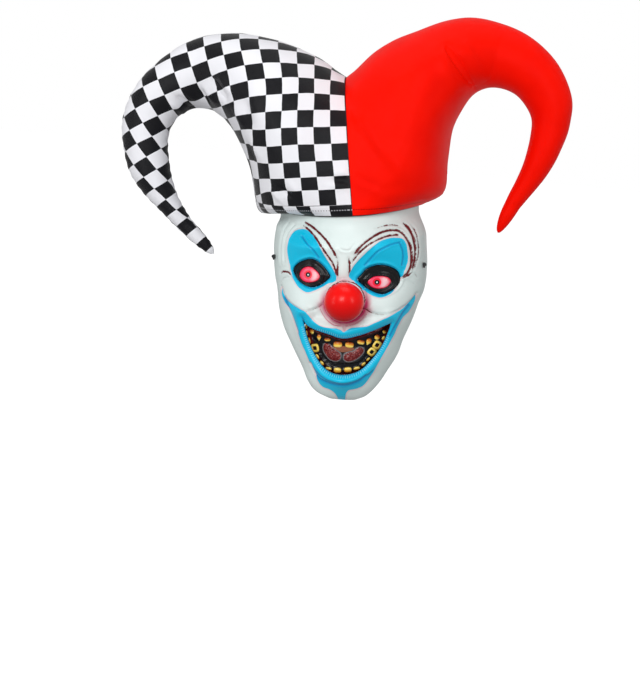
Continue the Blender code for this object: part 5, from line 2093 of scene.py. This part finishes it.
@dataclass
class Elastic:
    """The round elastic behind the head, with a knot outside each hole."""

    form: FaceForm
    diameter: float = 0.003
    length: float = 0.350
    hole_reach: float = 0.043
    left_drop: float = 0.066
    right_drop: float = 0.058
    knot_radius: float = 0.00115
    route: tuple = (
        (-0.0745, -0.0415, -0.0660), (-0.0715, -0.0350, -0.0659), (-0.0720, -0.0240, -0.0658),
        (-0.0750, -0.0080, -0.0655), (-0.0765, 0.0200, -0.0650), (-0.0720, 0.0420, -0.0645),
        (-0.0610, 0.0620, -0.0638), (-0.0440, 0.0780, -0.0630), (-0.0230, 0.0880, -0.0624),
        (0.0000, 0.0915, -0.0620), (0.0230, 0.0880, -0.0614), (0.0440, 0.0780, -0.0608),
        (0.0610, 0.0620, -0.0602), (0.0710, 0.0420, -0.0595), (0.0745, 0.0200, -0.0588),
        (0.0735, -0.0080, -0.0583), (0.0705, -0.0240, -0.0581), (0.0700, -0.0350, -0.0580),
        (0.0730, -0.0415, -0.0580),
    )

    def hole(self, side: int) -> Array:
        """Where the elastic meets the shell's outer side."""
        drop = self.left_drop if side < 0 else self.right_drop
        return np.array((side * self.form.wall_side(side, drop, self.hole_reach), -self.hole_reach, -drop))

    def tube(self, name: str, points: Points, radius: float,
             finish: bpy.types.Material) -> bpy.types.Object:
        """A round curve through points.

        Args:
            name: Its name.
            points: Its points, in metres.
            radius: Its radius.
            finish: Its material.

        Returns:
            The curve object.
        """
        curve = bpy.data.curves.new(name, "CURVE")
        curve.dimensions = "3D"
        curve.bevel_depth = radius
        curve.bevel_resolution = 4
        curve.use_fill_caps = True
        spline = curve.splines.new("POLY")
        spline.points.add(len(points) - 1)
        for place, point in zip(points, spline.points):
            point.co = (*place, 1.0)
        curve.materials.append(finish)
        obj = bpy.data.objects.new(name, curve)
        bpy.context.scene.collection.objects.link(obj)
        return obj

    def knot(self, side: int, word: str, finish: bpy.types.Material) -> bpy.types.Object:
        """A small double knot of the elastic with a short end.

        Args:
            side: -1 for the left and 1 for the right.
            word: The side's name.
            finish: The elastic's material.

        Returns:
            The knot.
        """
        outward = np.array((side * 0.86, -0.51, 0.0))
        backward = np.array((side * -0.51, 0.86, 0.0))
        upward = np.array((0.0, 0.0, 1.0))
        turn = np.linspace(0, 2 * math.pi, 90)[:, None]
        a = (np.sin(turn) + 1.6 * np.sin(2 * turn)) * 0.00085
        b = (np.cos(turn) - 1.6 * np.cos(2 * turn)) * 0.00095
        c = -np.sin(3 * turn) * 0.0007 + 0.0019
        points = self.hole(side) + a * backward + b * upward + c * outward
        tail = points[-1] + np.linspace(0, 1, 8)[1:, None] * (backward * 0.0030 + upward * 0.0008)
        obj = self.tube(f"tied_knot_{word}", np.concatenate((points, tail)), self.knot_radius, finish)
        settle(obj, "black_elastic", f"knot_{word}")
        return obj

    def build(self) -> None:
        """Makes the elastic and its knots."""
        finish = BraidFinish().material()
        ends = [self.hole(side) - (side * MM, 0, 0) for side in (-1, 1)]
        route = smooth_rows((ends[0], *self.route, ends[1]), np.linspace(0, 1, 34))
        cord = self.tube("round_elastic", route, self.diameter / 2, finish)
        settle(cord, "black_elastic", "elastic_cord")
        knots = [self.knot(side, word, finish) for side, word in ((-1, "left"), (1, "right"))]


# Studio


@dataclass
class Studio:
    """The camera at the photograph's angle, the floor and the soft lights."""

    azimuth: float = math.radians(4.0)
    elevation: float = math.radians(6.0)
    roll: float = math.radians(5.56)
    distance: float = 2.4
    metres_per_pixel: float = 0.00113
    origin_pixel: tuple = (357.0, 204.0)
    frame_pixels: tuple = (640, 700)
    floor_height: float = -0.62
    floor_half: float = 40.0
    floor_glow: float = 0.75
    room_light: float = 0.44
    sensor: float = 24.0
    # Each light's name, place, size and power
    lights: tuple = (
        ("key", (-0.45, -2.35, 0.80), (0.9, 0.9), 34.0),
        ("side", (1.9, -1.5, 0.7), (0.6, 1.2), 10.0),
        ("fill", (-2.0, -1.1, 0.2), (0.6, 1.4), 8.0),
        ("top", (0.0, -0.2, 2.2), (1.4, 1.0), 12.0),
    )

    def camera(self) -> None:
        """Makes the camera."""
        sa, ca = math.sin(self.azimuth), math.cos(self.azimuth)
        se, ce = math.sin(self.elevation), math.cos(self.elevation)
        back = Vector((sa * ce, -ca * ce, se))
        level = Vector((ca, sa, 0.0))
        plumb = back.cross(level)
        right = level * math.cos(self.roll) + plumb * math.sin(self.roll)
        upward = plumb * math.cos(self.roll) - level * math.sin(self.roll)
        off_x = (self.frame_pixels[0] / 2 - self.origin_pixel[0]) * self.metres_per_pixel
        off_y = (self.frame_pixels[1] / 2 - self.origin_pixel[1]) * self.metres_per_pixel
        eye = right * off_x - upward * off_y + back * self.distance
        data = bpy.data.cameras.new("camera")
        data.sensor_fit = "VERTICAL"
        data.sensor_height = self.sensor
        data.lens = self.sensor * self.distance / self.metres_per_pixel / self.frame_pixels[1]
        data.clip_end = 100.0
        obj = bpy.data.objects.new("camera", data)
        turn = Matrix((right, upward, back)).transposed().to_4x4()
        obj.matrix_world = Matrix.Translation(eye) @ turn
        bpy.context.scene.collection.objects.link(obj)
        bpy.context.scene.camera = obj

    def floor(self) -> None:
        """Makes the pale floor."""
        corners = ((-1, -1), (1, -1), (1, 1), (-1, 1))
        points = [(x * self.floor_half, y * self.floor_half, self.floor_height) for x, y in corners]
        graph = Graph("pale_floor")
        cloud = graph.speckle(2.0, 2)
        colour = graph.blend(cloud, (0.80, 0.80, 0.80), (0.84, 0.84, 0.84))
        finish = graph.paint(Base_Color=colour, Roughness=0.9, Emission_Color=(1.0, 1.0, 1.0),
                             Emission_Strength=self.floor_glow)
        obj = make_piece("floor", np.array(points), [(0, 1, 2, 3)], None, finish)
        obj.visible_diffuse = False
        obj.visible_glossy = False

    def light(self) -> None:
        """Makes the lights and the white surroundings."""
        for name, place, size, power in self.lights:
            data = bpy.data.lights.new(name, "AREA")
            data.shape = "RECTANGLE"
            data.size, data.size_y = size
            data.energy = power
            obj = bpy.data.objects.new(name, data)
            obj.location = place
            obj.rotation_euler = (-Vector(place)).to_track_quat("-Z", "Y").to_euler()
            bpy.context.scene.collection.objects.link(obj)
        world = bpy.data.worlds.new("white room")
        world.use_nodes = True
        nodes, links = world.node_tree.nodes, world.node_tree.links
        mixed = nodes.new("ShaderNodeMixShader")
        links.new(nodes.new("ShaderNodeLightPath").outputs["Is Camera Ray"], mixed.inputs[0])
        shades = ((nodes["Background"], self.room_light), (nodes.new("ShaderNodeBackground"), 1.0))
        for number, (shade, strength) in enumerate(shades, 1):
            shade.inputs["Color"].default_value = (1.0, 1.0, 1.0, 1.0)
            shade.inputs["Strength"].default_value = strength
            links.new(shade.outputs[0], mixed.inputs[number])
        links.new(mixed.outputs[0], nodes["World Output"].inputs["Surface"])
        bpy.context.scene.world = world
        bpy.context.scene.view_settings.view_transform = "Standard"

    def build(self) -> None:
        """Makes the camera, the floor and the lights."""
        self.camera()
        self.floor()
        self.light()


def main() -> None:
    """Builds every piece in order."""
    logging.basicConfig(level=logging.INFO, format="%(name)s: %(message)s")
    Studio().build()
    form = FaceForm()
    Elastic(form).build()
    eyes = (LEFT_EYE, RIGHT_EYE)
    FaceShell(form, FaceArt(), eyes).build()
    Eyes(form, eyes).build()
    Nose(form).build()
    Mouth(form).build()
    for horn in (LEFT_HORN, RIGHT_HORN):
        HatHalf(form, horn).build()
    Binding(form).build()


if __name__ == "__main__":
    main()
